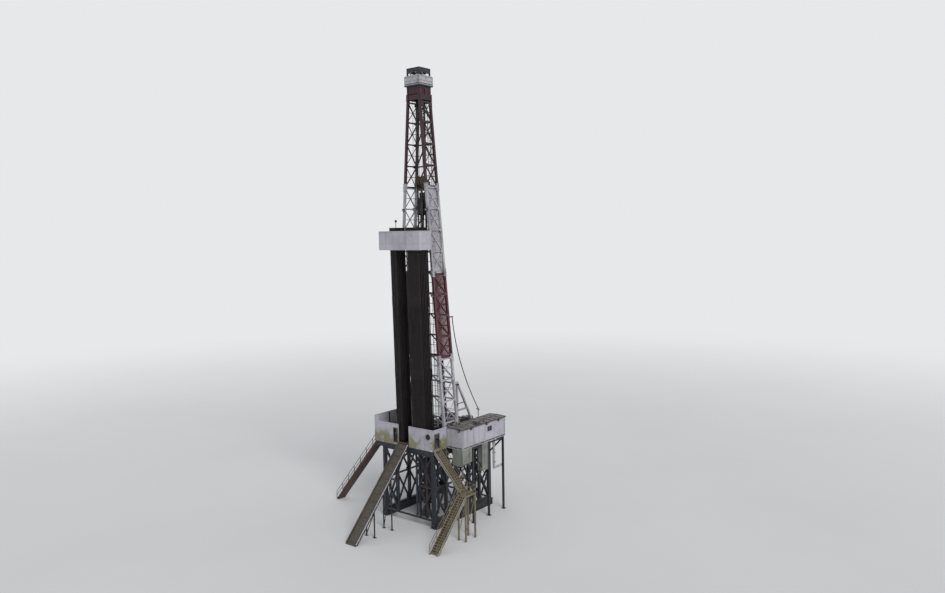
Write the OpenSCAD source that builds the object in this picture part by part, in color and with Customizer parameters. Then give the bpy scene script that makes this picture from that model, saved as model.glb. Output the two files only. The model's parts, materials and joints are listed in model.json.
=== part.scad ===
// Land drilling rig, scale model at 1:2, in millimetres.
// The origin is the well centre at ground level: +Z up, -Y towards the ramp, +X towards the doghouse.

/* [Drill floor] */
// Height of the drill floor above the ground
floor_z = 5250; // [4800:50:5700]
// Distance from the well to the left edge of the deck
deck_left = 2880; // [2700:20:3000]
// Distance from the well to the right edge of the deck
deck_right = 2280; // [2280:10:2340]
// Distance from the well to the front edge of the deck
deck_front = 1920; // [1920:10:2000]
// Distance from the well to the rear edge of the deck
deck_rear = 4200; // [4160:20:4400]
// Thickness of the deck plate
deck_t = 60; // [40:5:80]
// Depth of the beams under the deck
floor_beam_h = 400; // [300:20:500]
// Width of the beams under the deck
floor_beam_w = 160; // [120:10:200]
// Thickness of the mats under the standing pipe
mat_t = 60; // [40:5:80]

/* [Rotary table] */
// Radius of the hole that the drill string passes through
rotary_bore_r = 238; // [200:2:260]
// Radius of the table body
rotary_body_r = 420; // [380:10:450]
// Height of the table above the deck
rotary_h = 60; // [40:5:90]

/* [Substructure] */
// Height of the base skids
skid_h = 450; // [350:25:550]
// Width of the base skids
skid_w = 400; // [300:20:440]
// Width of the posts of the side frames
sub_post_w = 200; // [160:10:220]
// Width of the bracing of the side frames
sub_brace_w = 100; // [70:10:120]
// Number of bays along each side frame
sub_bays = 5; // [4:1:6]
// Half width of the open bay in the front frame
portal_half = 900; // [800:25:1000]

/* [Mast] */
// Height of the mast from the deck to the crown beams
mast_h = 22500; // [22300:100:22800]
// Half width of the mast at its feet
mast_foot_half = 2230; // [2150:10:2230]
// Half width of the mast at its top
mast_top_half = 585; // [560:5:600]
// Depth of the mast at its feet
mast_foot_depth = 1520; // [1500:10:1560]
// Depth of the mast at its top
mast_top_depth = 1150; // [1140:5:1180]
// Distance from the well to the front face of the mast
mast_front = 665; // [655:5:670]
// Width of the four legs
leg_w = 150; // [130:5:160]
// Width of the level bars between the legs
girt_w = 90; // [80:5:100]
// Width of the sloping bars between the legs
brace_w = 64; // [50:2:72]
// Number of bays in each painted section
mast_bays = 4; // [3:1:5]
// Height of the shoes under the legs
shoe_h = 250; // [200:10:300]
// Width of the shoes under the legs
shoe_w = 240; // [220:5:240]

/* [Crown] */
// Height from the top of the mast to the crown platform
crown_h = 860; // [840:10:920]
// Depth of the crown's lower beams
crown_beam_h = 350; // [320:10:360]
// Half width of the crown platform
platform_half = 670; // [650:10:700]
// Thickness of the crown platform
platform_t = 80; // [60:5:100]
// Height of the handrails
rail_h = 550; // [500:10:600]
// Width of the handrail bars
rail_w = 25; // [20:1:30]
// Height of the top frame above the platform
top_frame_h = 1100; // [1000:20:1200]
// Width of the top frame's bars
top_frame_w = 90; // [70:5:100]

/* [Block and sheaves] */
// Radius of the sheaves
sheave_r = 340; // [320:5:345]
// Number of sheaves in the crown and in the block
sheave_count = 5; // [4:1:5]
// Distance between neighbouring sheaves
sheave_pitch = 80; // [76:2:84]
// Width of a sheave's rim
sheave_w = 60; // [50:2:66]
// Diameter of the drilling line
line_d = 20; // [16:1:24]
// Height of the top of the block above the deck, as the photo shows it
block_top = 17650; // [17500:50:17800]
// Height of the travelling block
block_h = 1000; // [960:10:1100]
// Width of the travelling block
block_w = 500; // [470:5:520]
// Thickness of the block's cheek plates
cheek_t = 30; // [20:2:34]
// Height of the top drive under the block
top_drive_h = 2600; // [2400:50:2800]
// Height of the links between the block and the top drive's body
drive_link_h = 650; // [600:10:700]
// Height of the top drive's body
drive_body_h = 950; // [900:10:1000]
// Distance from the well to the middle of each guide rail
guide_x = 315; // [310:1:318]
// Width of the guide rails
guide_w = 60; // [40:2:60]
// Height of the lower end of the guide rails above the deck
guide_low = 900; // [700:50:1100]

/* [Racking board] */
// Height by which the standing pipe stands over the racking board
pipe_over_board = 1370; // [1300:10:1440]
// Half width of the racking board
board_half = 1700; // [1680:10:1780]
// Distance from the well to the front of the racking board
board_front = 2325; // [2325:5:2400]
// Distance from the well to the rear of the racking board
board_rear = 1105; // [1090:5:1110]
// Height of the racking board's wind wall
board_wall_h = 1225; // [1150:25:1350]
// Height of the racking board's beams
board_beam_h = 120; // [100:5:150]
// Height of the fingers
finger_h = 60; // [50:5:80]
// Width of the racking board's walkway
walk_w = 350; // [300:10:380]

/* [Standing pipe] */
// Height of the standing pipe
stand_h = 14200; // [14000:25:14400]
// Diameter of the standing pipe
stand_d = 84; // [78:1:84]
// Distance between neighbouring rows of pipe
row_pitch = 140; // [136:1:146]
// Number of rows of pipe
row_count = 7; // [5:1:7]
// Pipes in a row of the left group
left_pipes = 7; // [4:1:7]
// Pipes in a row of the right group
right_pipes = 14; // [8:1:14]
// Distance from the well to the front row of pipe at the deck
stand_front = 1800; // [1780:5:1805]
// Forward lean of the pipe over its height
stand_lean = 350; // [330:10:360]

/* [Wind walls] */
// Height of the wind walls above the deck
wall_h = 1250; // [1150:25:1350]
// Depth of the wind walls below the deck
wall_drop = 145; // [100:5:180]
// Thickness of the wind walls
wall_t = 40; // [30:2:50]
// Height of the left wind wall and of the front wall's left corner, above the deck
tall_wall_h = 1610; // [1500:10:1700]
// Width of the tall panel at the left corner of the front wall
corner_w = 350; // [300:10:400]
// Distance from the well to the left, to the middle of the ramp and of its gap in the wall
ramp_off = 280; // [260:10:300]
// Width of the gap at the head of the ramp
v_door_w = 920; // [920:10:1000]
// Width of the doorways
door_w = 420; // [380:10:460]
// Width of the narrow doorway beside the ramp
front_door_w = 320; // [300:10:340]
// Height of the doorways
door_h = 950; // [900:10:1000]
// Length of the left wind wall
left_wall_l = 3900; // [3600:50:4200]
// Distance from the front edge of the deck to the middle of the left doorway
left_door_in = 620; // [560:10:900]

/* [Doghouse] */
// Width of the doghouse
dog_w = 1330; // [1250:10:1400]
// Distance from the well back to the front of the doghouse, towards the ramp
dog_front = 580; // [560:10:620]
// Length of the doghouse
dog_l = 4680; // [4600:20:4760]
// Height of the doghouse walls
dog_h = 1180; // [1100:10:1250]
// Thickness of the doghouse walls
dog_wall_t = 40; // [30:2:50]
// Thickness of the doghouse floor
dog_floor_t = 150; // [120:10:180]
// Overhang of the doghouse roof
roof_lip = 40; // [20:5:60]
// Thickness of the doghouse roof
roof_t = 50; // [40:5:70]
// Width of the windows
window_w = 500; // [400:10:600]
// Height of the windows
window_h = 320; // [250:10:400]
// Height of the window sills above the floor
sill_h = 560; // [500:10:600]

/* [Under the doghouse] */
// Width of the tank
tank_w = 860; // [800:10:900]
// Length of the tank
tank_l = 960; // [900:10:1000]
// Height of the tank
tank_h = 1100; // [1000:25:1200]
// Width of the cabinet
cabinet_w = 400; // [350:10:450]
// Length of the cabinet
cabinet_l = 650; // [600:10:680]
// Height of the cabinet
cabinet_h = 1850; // [1700:25:1950]
// Diameter of the drop pipe
drop_pipe_d = 160; // [140:5:170]
// Height of the drop pipe
drop_pipe_h = 2050; // [1900:25:2200]
// Reach of the drop pipe's foot towards the rear
drop_pipe_l = 1050; // [900:25:1150]

/* [Ramp and stairs] */
// Width of the ramp
ramp_w = 860; // [800:10:880]
// Slope of the ramp
ramp_angle = 47; // [44:1:50]
// Length of the level head of the ramp
ramp_head = 100; // [60:20:200]
// Width of the stairs
stair_w = 600; // [560:10:610]
// Depth of the stair stringers
stringer_h = 160; // [140:5:180]
// Thickness of the stair stringers
stringer_t = 25; // [20:1:30]
// Height of a step
step_h = 125; // [110:5:140]
// Height of the landing above the ground
landing_z = 2850; // [2700:50:3000]
// Horizontal run of the upper right flight
upper_run = 2230; // [2100:10:2400]
// Horizontal run of the lower right flight
lower_run = 2750; // [2600:50:2900]
// Horizontal run of the left flight
left_run = 4470; // [4300:10:4700]
// Length of the landing
landing_l = 650; // [640:10:760]
// Depth of the landing
landing_d = 1030; // [1000:10:1150]

/* [Rear of the mast] */
// Height of the apex of the rear frames above the deck
a_frame_h = 3900; // [3800:50:4000]
// Distance from the well to the foot of the rear legs
a_frame_foot = 3200; // [3100:20:3300]
// Width of the rear frames' bars
a_frame_w = 120; // [100:5:130]
// Radius of the drawworks drum
drum_r = 260; // [220:5:280]
// Length of the drawworks drum
drum_l = 900; // [800:20:1000]
// Distance from the well to the drawworks shaft
drum_y = 3480; // [3460:10:3540]
// Height of the drawworks housings
housing_h = 950; // [900:10:1050]
// Length of the drawworks housings, from front to rear
housing_l = 1000; // [960:10:1040]
// Width of the drawworks housings
housing_w = 480; // [440:10:500]
// Radius of the drawworks motors
motor_r = 210; // [180:5:230]
// Length of the drawworks motors
motor_l = 430; // [380:10:460]

/* [Well] */
// Inner radius of the cellar ring
cellar_r = 480; // [450:10:520]
// Wall of the cellar ring
cellar_t = 40; // [30:2:60]
// Height of the cellar ring
cellar_h = 90; // [60:5:120]
// Radius of the blow-out preventer's flanges
bop_r = 290; // [260:5:300]
// Diameter of the four posts round the well
well_post_d = 140; // [120:5:150]

/* [Hidden] */

// Gap left between pieces that seat on sloping faces
seat = 0.3;

// Colours as the photo shows them
red = [0.30, 0.10, 0.12];
pink = [0.42, 0.20, 0.24];
white = [0.66, 0.65, 0.68];
dark = [0.09, 0.09, 0.11];
navy = [0.07, 0.08, 0.12];
grey = [0.36, 0.35, 0.36];
olive = [0.30, 0.29, 0.22];
stair_tan = [0.42, 0.40, 0.30];
rust = [0.22, 0.09, 0.07];

// The mast's four straight legs and the planes of its three braced faces
mast_z = floor_z + mast_h;
sections = 4;
section_h = mast_h / sections;
leg_foot_x = mast_foot_half - leg_w / 2;
leg_top_x = mast_top_half - leg_w / 2;
leg_front_y = -mast_front + leg_w / 2;
leg_foot_y = -mast_front + mast_foot_depth - leg_w / 2;
leg_top_y = -mast_front + mast_top_depth - leg_w / 2;
side_tilt = atan((leg_foot_x - leg_top_x) / mast_h);
back_tilt = atan((leg_foot_y - leg_top_y) / mast_h);
cap_h = 60;
cap_w = leg_w + 50;
function leg_x(h) = leg_foot_x + (leg_top_x - leg_foot_x) * h / mast_h;
function leg_y(h) = leg_foot_y + (leg_top_y - leg_foot_y) * h / mast_h;
function section_low(i) = i == 1 ? shoe_h / 2 : (i - 1) * section_h;
function section_high(i) = i == sections ? mast_h - cap_h / 2 : i * section_h;
function bay_h(i, k) = (i - 1 + k / mast_bays) * section_h;

// Substructure
beam_top = floor_z - deck_t;
beam_low = beam_top - floor_beam_h;
frame_x = deck_right - sub_post_w / 2;
frame_in = frame_x - sub_post_w / 2;

// Well
grating_t = 25;
nipple_r = rotary_bore_r + 22;
stack_top = beam_low - 340;

// Standing pipe
board_z = mat_t + stand_h - pipe_over_board;
lean_angle = atan(stand_lean / stand_h);
pipe_pitch = stand_d - 4;
gangway_left = 400;
gangway_right = 450;
function row_y(i) = -stand_front + row_pitch * i;
function row_shift(h) = -stand_lean * (h - mat_t) / stand_h;

// Travelling block
block_low = floor_z + block_top - block_h;
sheave_z = floor_z + block_top - sheave_r - 60;
crown_sheave_z = mast_z + crown_beam_h + 130;
groove_half = line_d * 0.6;
groove_r = sheave_r - line_d * 1.2;

// Service line: a hose that hangs from the mast to the rear of the floor
line_tube_d = 60;
line_route = [[1500, 1120, 13520], [1495, 1190, 13060], [1490, 1280, 12600], [1480, 1390, 12150],
    [1475, 1510, 11700], [1470, 1650, 11250], [1460, 1800, 10810], [1455, 1970, 10380],
    [1450, 2150, 9950], [1445, 2340, 9530], [1440, 2540, 9110], [1430, 2760, 8690], [1425, 2980, 8290],
    [1420, 3220, 7880], [1410, 3460, 7490], [1405, 3710, 7100], [1400, 3970, 6710]];

// A straight bar in a flat drawing
module strip(a, b, w) {
    n = [a[1] - b[1], b[0] - a[0]] * w / (2 * norm(b - a));
    polygon([a - n, b - n, b + n, a + n]);
}

// A box given by its lowest and highest corners
module block(low, high) {
    translate(low) cube(high - low);
}

// A square post about the point x, y, from one height to another
module post_between(x, y, w, low, high) {
    block([x - w / 2, y - w / 2, low], [x + w / 2, y + w / 2, high]);
}

// Stands a flat drawing up: its first axis lies along Y and its second along Z
module along_y() {
    rotate([90, 0, 90]) children();
}

// Stands a flat drawing up: its first axis lies along X and its second along Z
module along_x() {
    rotate([90, 0, 0]) children();
}

// Base

module base_skids() {
    color(navy) for (side = [-1, 1])
        block([side * frame_x - skid_w / 2, -deck_front, 0],
            [side * frame_x + skid_w / 2, deck_rear, skid_h]);
}

module side_frame_drawing(depth, w, crossed) {
    low = skid_h + w / 2;
    high = beam_low - w / 2;
    first = -deck_front + sub_post_w / 2;
    pitch = (deck_front + deck_rear - sub_post_w) / sub_bays;
    linear_extrude(depth, center = true) {
        if (!crossed) {
            for (k = [0 : sub_bays]) strip([first + k * pitch, skid_h], [first + k * pitch, beam_low], w);
            strip([first, low], [first + sub_bays * pitch, low], w);
            strip([first, high], [first + sub_bays * pitch, high], w);
        } else {
            for (k = [0 : sub_bays - 1]) {
                a = first + k * pitch;
                mid = (low + high) / 2;
                strip([a, low], [a + pitch, mid], w);
                strip([a + pitch, low], [a, mid], w);
                strip([a, mid], [a + pitch, high], w);
                strip([a + pitch, mid], [a, high], w);
                strip([a, mid], [a + pitch, mid], w);
            }
        }
    }
}

module side_frame(side) {
    color(navy) translate([side * frame_x, 0, 0]) along_y() {
        side_frame_drawing(sub_post_w, sub_post_w * 0.8, false);
        side_frame_drawing(sub_brace_w, sub_brace_w, true);
    }
}

// A panel with two crossed braces one above the other, between two upright edges
module crossed_panel(x0, x1, low, high, w) {
    mid = (low + high) / 2;
    intersection() {
        translate([x0, low]) square([x1 - x0, high - low]);
        union() {
            for (x = [x0 + w / 2, x1 - w / 2]) strip([x, low], [x, high], w);
            for (z = [low + w / 2, mid, high - w / 2]) strip([x0, z], [x1, z], w);
            for (z = [low, mid]) {
                strip([x0, z], [x1, z + mid - low], w);
                strip([x1, z], [x0, z + mid - low], w);
            }
        }
    }
}

// The frame across the base: a braced panel each side and, between them, an open portal or a third panel
module cross_frame(y, open_middle) {
    half = frame_in - seat;
    inner = portal_half - seat;
    w = sub_brace_w;
    translate([0, y, 0]) along_x() linear_extrude(w, center = true) {
        crossed_panel(portal_half, half, skid_h, beam_low, w);
        crossed_panel(-half, -portal_half, skid_h, beam_low, w);
        if (open_middle) {
            strip([-inner, skid_h + w / 2], [inner, skid_h + w / 2], w);
            intersection() {
                translate([-inner, skid_h]) square([2 * inner, beam_low - skid_h]);
                union() {
                    strip([-inner, beam_low - w / 2], [inner, beam_low - w / 2], w);
                    for (s = [-1, 1])
                        strip([s * portal_half, beam_low - portal_half], [0, beam_low - w / 2], w);
                }
            }
        } else crossed_panel(-inner, inner, skid_h, beam_low, w);
    }
}

module cross_frames() {
    color(navy) {
        cross_frame(-deck_front + sub_post_w / 2, true);
        cross_frame(deck_rear - sub_post_w / 2, false);
    }
}

// Drill floor

// Beams run the length of the floor, with shorter ones fitted between them
module floor_beams() {
    w = floor_beam_w;
    opening = rotary_body_r + w / 2 + 60;
    front = -deck_front + w / 2;
    rear = deck_rear - w / 2;
    long = [-deck_left + w / 2, -opening, opening, deck_right - w / 2];
    color(navy) {
        for (x = long) block([x - w / 2, -deck_front, beam_low], [x + w / 2, deck_rear, beam_top]);
        for (k = [0 : 2], y = [front, -opening, opening, (opening + rear) / 2, rear])
            block([long[k] + w / 2 + seat, y - w / 2, beam_low],
                [long[k + 1] - w / 2 - seat, y + w / 2, beam_top]);
    }
}

// Four deck plates round the rotary table
module drill_floor() {
    hole = rotary_body_r + 5;
    color(dark) {
        block([-deck_left, -deck_front, beam_top], [deck_right, -hole - seat, floor_z]);
        block([-deck_left, hole + seat, beam_top], [deck_right, deck_rear, floor_z]);
        block([-deck_left, -hole, beam_top], [-hole, hole, floor_z]);
        block([hole, -hole, beam_top], [deck_right, hole, floor_z]);
    }
}

module setback_mats() {
    front = -stand_front - 100;
    rear = row_y(row_count - 1) + row_pitch / 2;
    color(rust) {
        block([-gangway_left - left_pipes * pipe_pitch - 60, front, floor_z],
            [-gangway_left + 40, rear, floor_z + mat_t]);
        block([gangway_right - 40, front, floor_z],
            [gangway_right + right_pipes * pipe_pitch + 60, rear, floor_z + mat_t]);
    }
}

// The table's body fills the square hole in the deck and its flange covers the hole's corners
module rotary_table() {
    flange_r = rotary_body_r * sqrt(2) + 20;
    color(grey) rotate_extrude()
        polygon([[rotary_bore_r, -deck_t], [rotary_body_r, -deck_t], [rotary_body_r, 0],
            [flange_r, 0], [flange_r, rotary_h * 0.4], [rotary_body_r, rotary_h],
            [rotary_bore_r + 30, rotary_h], [rotary_bore_r, rotary_h - 30]]);
}

// Well

// The ring stands round a grating that closes up to the well head's base flange
module cellar_ring() {
    color(grey) rotate_extrude()
        polygon([[bop_r + seat, 0], [cellar_r + cellar_t, 0], [cellar_r + cellar_t, cellar_h],
            [cellar_r, cellar_h], [cellar_r, grating_t], [bop_r + seat, grating_t]]);
}

module bop_stack() {
    r = bop_r;
    neck = r * 0.62;
    step = (stack_top - 60) / 10;
    color(rust) {
        rotate_extrude() polygon([[0, 0], [r, 0], [r, 90], [neck, 120], [neck, 2 * step - 120],
            [r, 2 * step - 90], [r, 2 * step], [neck, 2 * step + 30], [neck, 6.4 * step],
            [r, 6.4 * step + 40], [r * 1.25, 6.6 * step],
            [r * 1.25, 8.2 * step], [r * 0.9, 8.8 * step], [neck, 9 * step], [neck, 9.6 * step],
            [nipple_r, 10 * step], [nipple_r, stack_top], [0, stack_top]]);
        for (k = [2.7, 4.2, 5.5]) translate([0, 0, k * step]) {
            block([-r * 1.05, -r * 0.75, -0.42 * step], [r * 1.05, r * 0.75, 0.42 * step]);
            rotate([0, 90, 0]) cylinder(r = 0.36 * step, h = r * 4.2, center = true);
            for (s = [-1, 1]) translate([s * r * 1.75, 0, 0]) rotate([0, 90, 0])
                cylinder(r = 0.44 * step, h = r * 0.3, center = true);
        }
        translate([0, 0, 3.5 * step]) rotate([90, 0, 0])
            cylinder(r = neck * 0.35, h = r * 3.4, center = true);
    }
}

// The tube that guides what is lowered through the rotary table into the well
module bell_nipple() {
    inner = nipple_r - 35;
    color(rust) rotate_extrude()
        polygon([[inner, stack_top + seat], [nipple_r, stack_top + seat],
            [nipple_r, beam_top - seat], [inner, beam_top - seat]]);
}

// Posts that carry the preventer's lifting gear, from the ground to the beams round the table
module well_posts() {
    at = rotary_body_r + floor_beam_w / 2 + 60;
    x = at - well_post_d + 30;
    plate = 20;
    color(grey) for (sx = [-1, 1], sy = [-1, 1]) translate([sx * x, sy * at, 0]) {
        cylinder(d = well_post_d, h = beam_low);
        for (z = [0, beam_low - plate]) translate([0, 0, z]) cylinder(d = well_post_d * 1.5, h = plate);
        for (z = [0.35, 0.7]) translate([0, 0, beam_low * z]) cylinder(d = well_post_d * 1.3, h = 120);
    }
}

// Drawworks and the rear of the floor

// A motor beside the housing, on its own stool, with its blower on top
module drawworks_motor(axis_z) {
    stool = motor_r * 0.8;
    blower = motor_r * 0.55;
    rotate([0, 90, 0]) translate([-axis_z, 0, 0]) {
        cylinder(r = motor_r, h = motor_l, center = true);
        for (s = [-1, 1]) translate([0, 0, s * (motor_l / 2 - 30)])
            cylinder(r = motor_r + 25, h = 40, center = true);
    }
    block([-motor_l / 2, -stool, 0], [motor_l / 2, stool, axis_z - motor_r * 0.5]);
    block([-blower, -blower, axis_z + motor_r * 0.7], [blower, blower, axis_z + motor_r + 150]);
}

module drawworks() {
    base_h = 120;
    half = drum_l / 2;
    housing_in = half + 80;
    housing_out = housing_in + housing_w;
    shaft_z = floor_z + base_h + drum_r + 180;
    long = housing_l / 2;
    color(dark) {
        block([-housing_out - 60, drum_y - long - 60, floor_z],
            [housing_out + 60, drum_y + long + 60, floor_z + base_h]);
        for (s = [-1, 1]) translate([s * (housing_in + housing_out) / 2, drum_y, floor_z]) along_y()
            linear_extrude(housing_w, center = true)
                polygon([[-long, base_h - 1], [long, base_h - 1], [long, housing_h * 0.6],
                    [long * 0.66, housing_h], [-long * 0.66, housing_h], [-long, housing_h * 0.6]]);
        for (s = [-1, 1]) translate([s * (housing_out - 1 + motor_l / 2), drum_y - long / 2, floor_z])
            drawworks_motor(shaft_z - floor_z);
        translate([0, drum_y, shaft_z]) rotate([0, 90, 0]) {
            cylinder(r = drum_r, h = 2 * housing_in + 10, center = true);
            for (s = [-1, 1]) translate([0, 0, s * (half - 20)])
                cylinder(r = drum_r + 120, h = 30, center = true);
        }
    }
}

module rear_frame_drawing() {
    foot_front = leg_y(0) + leg_w / 2 + 160;
    apex = [foot_front + 60, a_frame_h];
    w = a_frame_w;
    linear_extrude(w, center = true) {
        intersection() {
            translate([0, 0]) square([a_frame_foot + w, a_frame_h + w]);
            union() {
                strip([foot_front, -w], apex, w);
                strip([a_frame_foot, -w], apex, w);
                strip([foot_front, apex[1] / 2], [(apex[0] + a_frame_foot) / 2, apex[1] / 2], w * 0.8);
            }
        }
        link_y = leg_y(a_frame_h - w) + leg_w / 2 / cos(back_tilt) + seat;
        translate([link_y, a_frame_h - w]) square([apex[0] - link_y, w]);
    }
}

module rear_frames() {
    x = leg_x(a_frame_h);
    color(white) {
        for (s = [-1, 1]) translate([s * x, 0, floor_z]) along_y() rear_frame_drawing();
        y = leg_y(0) + leg_w / 2 + 220;
        block([-x + a_frame_w / 2 + seat, y - 50, floor_z + a_frame_h - 150],
            [x - a_frame_w / 2 - seat, y + 50, floor_z + a_frame_h - 50]);
    }
}

// A straight run of handrail: posts, a top rail and a middle rail, drawn flat
module rail_drawing(length, w) {
    posts = ceil(length / 900);
    linear_extrude(w, center = true) {
        for (k = [0 : posts]) {
            x = w / 2 + (length - w) * k / posts;
            translate([x - w / 2, 0]) square([w, rail_h]);
        }
        translate([0, rail_h - w]) square([length, w]);
        translate([0, rail_h / 2 - w / 2]) square([length, w]);
        square([length, w * 1.5]);
    }
}

module rear_rails() {
    post_x = line_route[len(line_route) - 1][0];
    post_y = line_route[len(line_route) - 1][1];
    color(white) {
        translate([-deck_left, deck_rear - rail_w, floor_z]) along_x()
            rail_drawing(deck_left + deck_right, rail_w);
        translate([post_x, post_y, floor_z]) {
            cylinder(d = 100, h = line_route[len(line_route) - 1][2] - floor_z + 60);
            cylinder(d = 220, h = 30);
        }
    }
}

// Mast

// One flat side of a painted section, drawn with Y first and the slope length second
module mast_side_drawing(i) {
    low = section_low(i) / cos(side_tilt);
    high = section_high(i) / cos(side_tilt) - seat;
    function v(k) = bay_h(i, k) / cos(side_tilt);
    function rear(k) = leg_y(bay_h(i, k));
    function girt(k) = k == 0 ? max(low, i == 1 ? shoe_h / cos(side_tilt) : low) + girt_w / 2
        : k == mast_bays ? high - girt_w / 2 - (i == sections ? cap_h : 0) : v(k);
    module band() {
        translate([-mast_front, low]) square([mast_foot_depth, high - low]);
    }
    linear_extrude(leg_w, center = true) intersection() {
        band();
        union() {
            strip([leg_front_y, low - 1], [leg_front_y, high + 1], leg_w);
            strip([leg_y(low * cos(side_tilt) - 100), low - 100 / cos(side_tilt)],
                [leg_y(high * cos(side_tilt) + 100), high + 100 / cos(side_tilt)], leg_w);
        }
    }
    linear_extrude(girt_w, center = true)
        for (k = [0 : mast_bays]) strip([leg_front_y, girt(k)], [rear(k), girt(k)], girt_w);
    linear_extrude(brace_w, center = true) for (k = [0 : mast_bays - 1]) {
        if (k % 2 == 0) strip([leg_front_y, girt(k)], [rear(k + 1), girt(k + 1)], brace_w);
        else strip([rear(k), girt(k)], [leg_front_y, girt(k + 1)], brace_w);
    }
}

module mast_side(i) {
    translate([leg_foot_x, 0, floor_z]) rotate([0, -side_tilt, 0]) along_y() mast_side_drawing(i);
    if (i == 1) for (y = [leg_front_y, leg_foot_y])
        post_between(leg_foot_x, y, shoe_w, floor_z, floor_z + shoe_h);
    if (i == sections) for (y = [leg_front_y, leg_top_y])
        post_between(leg_top_x, y, cap_w, mast_z - cap_h, mast_z);
}

// The back of a painted section, drawn with X first and the slope length second
module mast_back_drawing(i) {
    low = (i == 1 ? shoe_h + 20 : section_low(i)) / cos(back_tilt);
    high = (i == sections ? mast_h - cap_h - 20 : section_high(i)) / cos(back_tilt);
    function inner(v) = leg_x(v * cos(back_tilt)) - leg_w / 2 / cos(side_tilt) - seat;
    function v(k) = k == 0 ? low + girt_w / 2
        : k == mast_bays ? high - girt_w / 2 : bay_h(i, k) / cos(back_tilt);
    module outline() {
        polygon([[-inner(low), low], [inner(low), low], [inner(high), high], [-inner(high), high]]);
    }
    linear_extrude(girt_w, center = true) intersection() {
        outline();
        union() for (k = [0 : mast_bays]) strip([-leg_x(v(k)), v(k)], [leg_x(v(k)), v(k)], girt_w);
    }
    linear_extrude(brace_w, center = true) intersection() {
        outline();
        union() for (k = [0 : mast_bays - 1], s = [-1, 1])
            strip([s * leg_x(v(k)), v(k)], [0, v(k + 1)], brace_w);
    }
}

module mast_back(i) {
    translate([0, leg_foot_y, floor_z]) rotate([back_tilt, 0, 0]) along_x() mast_back_drawing(i);
}

function section_color(i) = i == 1 ? white : i == 2 ? pink : i == 3 ? white : red;

module mast_left(i) {
    color(section_color(i)) mirror([1, 0, 0]) mast_side(i);
}

module mast_right(i) {
    color(section_color(i)) {
        mast_side(i);
        if (i == 2) line_bracket();
    }
}

// The bracket on the right leg that the service line hangs from
module line_bracket() {
    top = line_route[0];
    h = top[2] - floor_z;
    reach = line_tube_d / 2 + 20;
    block([leg_x(h) - 40, leg_y(h), top[2] - 40], [top[0] + reach, top[1] + reach, top[2] + 40]);
}

module mast_rear(i) {
    color(section_color(i)) mast_back(i);
}

module guide_rails() {
    high = mast_z - cap_h;
    arm = 25;
    color(dark) for (s = [-1, 1]) {
        block([s * guide_x - guide_w / 2, -guide_w / 2, floor_z + guide_low],
            [s * guide_x + guide_w / 2, guide_w / 2, high]);
        for (i = [1 : sections], k = [2, 4]) {
            h = bay_h(i, k) - (i == sections && k == 4 ? cap_h + 20 : 0) - (k == 4 ? girt_w / 2 : 0);
            reach = leg_y(h + arm) - girt_w / 2 / cos(back_tilt) - seat;
            block([s * guide_x - arm, 0, floor_z + h - arm], [s * guide_x + arm, reach, floor_z + h + arm]);
        }
    }
}

// Crown

module crown_beams() {
    front = leg_front_y;
    rear = leg_top_y;
    out_x = leg_top_x + cap_w / 2;
    post = 100;
    under = mast_z + crown_h;
    color(red) {
        for (s = [-1, 1]) {
            block([s * leg_top_x - leg_w / 2, front - cap_w / 2, mast_z],
                [s * leg_top_x + leg_w / 2, rear + cap_w / 2, mast_z + crown_beam_h]);
            for (y = [front, -sheave_r + 60, sheave_r - 60, rear])
                post_between(s * leg_top_x, y, post, mast_z + crown_beam_h - 1, under);
            block([s * leg_top_x - post / 2, front, under - 120], [s * leg_top_x + post / 2, rear, under]);
        }
        for (y = [front, rear]) {
            block([-out_x, y - 60, mast_z], [out_x, y + 60, mast_z + crown_beam_h - 40]);
            block([-out_x + 40, y - 40, under - 120], [out_x - 40, y + 40, under]);
        }
    }
}

// A grooved sheave about X
module sheave(r) {
    rotate([0, 90, 0]) rotate_extrude()
        polygon([[30, -sheave_w / 2], [110, -sheave_w / 2], [120, -sheave_w / 4], [r - 70, -sheave_w / 4],
            [r - 50, -sheave_w / 2], [r, -sheave_w / 2], [groove_r, -groove_half], [groove_r, groove_half],
            [r, sheave_w / 2], [r - 50, sheave_w / 2], [r - 70, sheave_w / 4], [120, sheave_w / 4],
            [110, sheave_w / 2], [30, sheave_w / 2]]);
}

function sheave_x(k) = (k - (sheave_count - 1) / 2) * sheave_pitch;

module sheave_cluster(z, half) {
    translate([0, 0, z]) {
        rotate([0, 90, 0]) cylinder(r = 60, h = 2 * half, center = true);
        for (k = [0 : sheave_count - 1]) translate([sheave_x(k), 0, 0]) sheave(sheave_r);
    }
}

module crown_sheaves() {
    bearing = 130;
    color(dark) {
        sheave_cluster(crown_sheave_z, leg_top_x);
        for (s = [-1, 1]) translate([s * leg_top_x, 0, mast_z + crown_beam_h]) along_y()
            linear_extrude(90, center = true) {
                translate([-bearing, 0]) square([2 * bearing, crown_sheave_z - mast_z - crown_beam_h]);
                translate([0, crown_sheave_z - mast_z - crown_beam_h]) circle(r = bearing);
            }
    }
}

crown_y = (leg_front_y + leg_top_y) / 2;
platform_y = mast_top_depth / 2 + platform_half - mast_top_half;

module crown_platform() {
    low = mast_z + crown_h;
    color("darkslategray") difference() {
        block([-platform_half, crown_y - platform_y, low],
            [platform_half, crown_y + platform_y, low + platform_t]);
        block([-300, -sheave_r - 40, low - 1], [300, sheave_r + 40, low + platform_t + 1]);
    }
}

module crown_rails() {
    z = mast_z + crown_h + platform_t;
    color(white) {
        for (s = [-1, 1]) {
            translate([-platform_half, crown_y + s * (platform_y - rail_w / 2), z]) along_x()
                rail_drawing(2 * platform_half, rail_w);
            translate([s * (platform_half - rail_w / 2), crown_y - platform_y + rail_w + seat, z]) along_y()
                rail_drawing(2 * (platform_y - rail_w - seat), rail_w);
        }
    }
}

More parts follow.
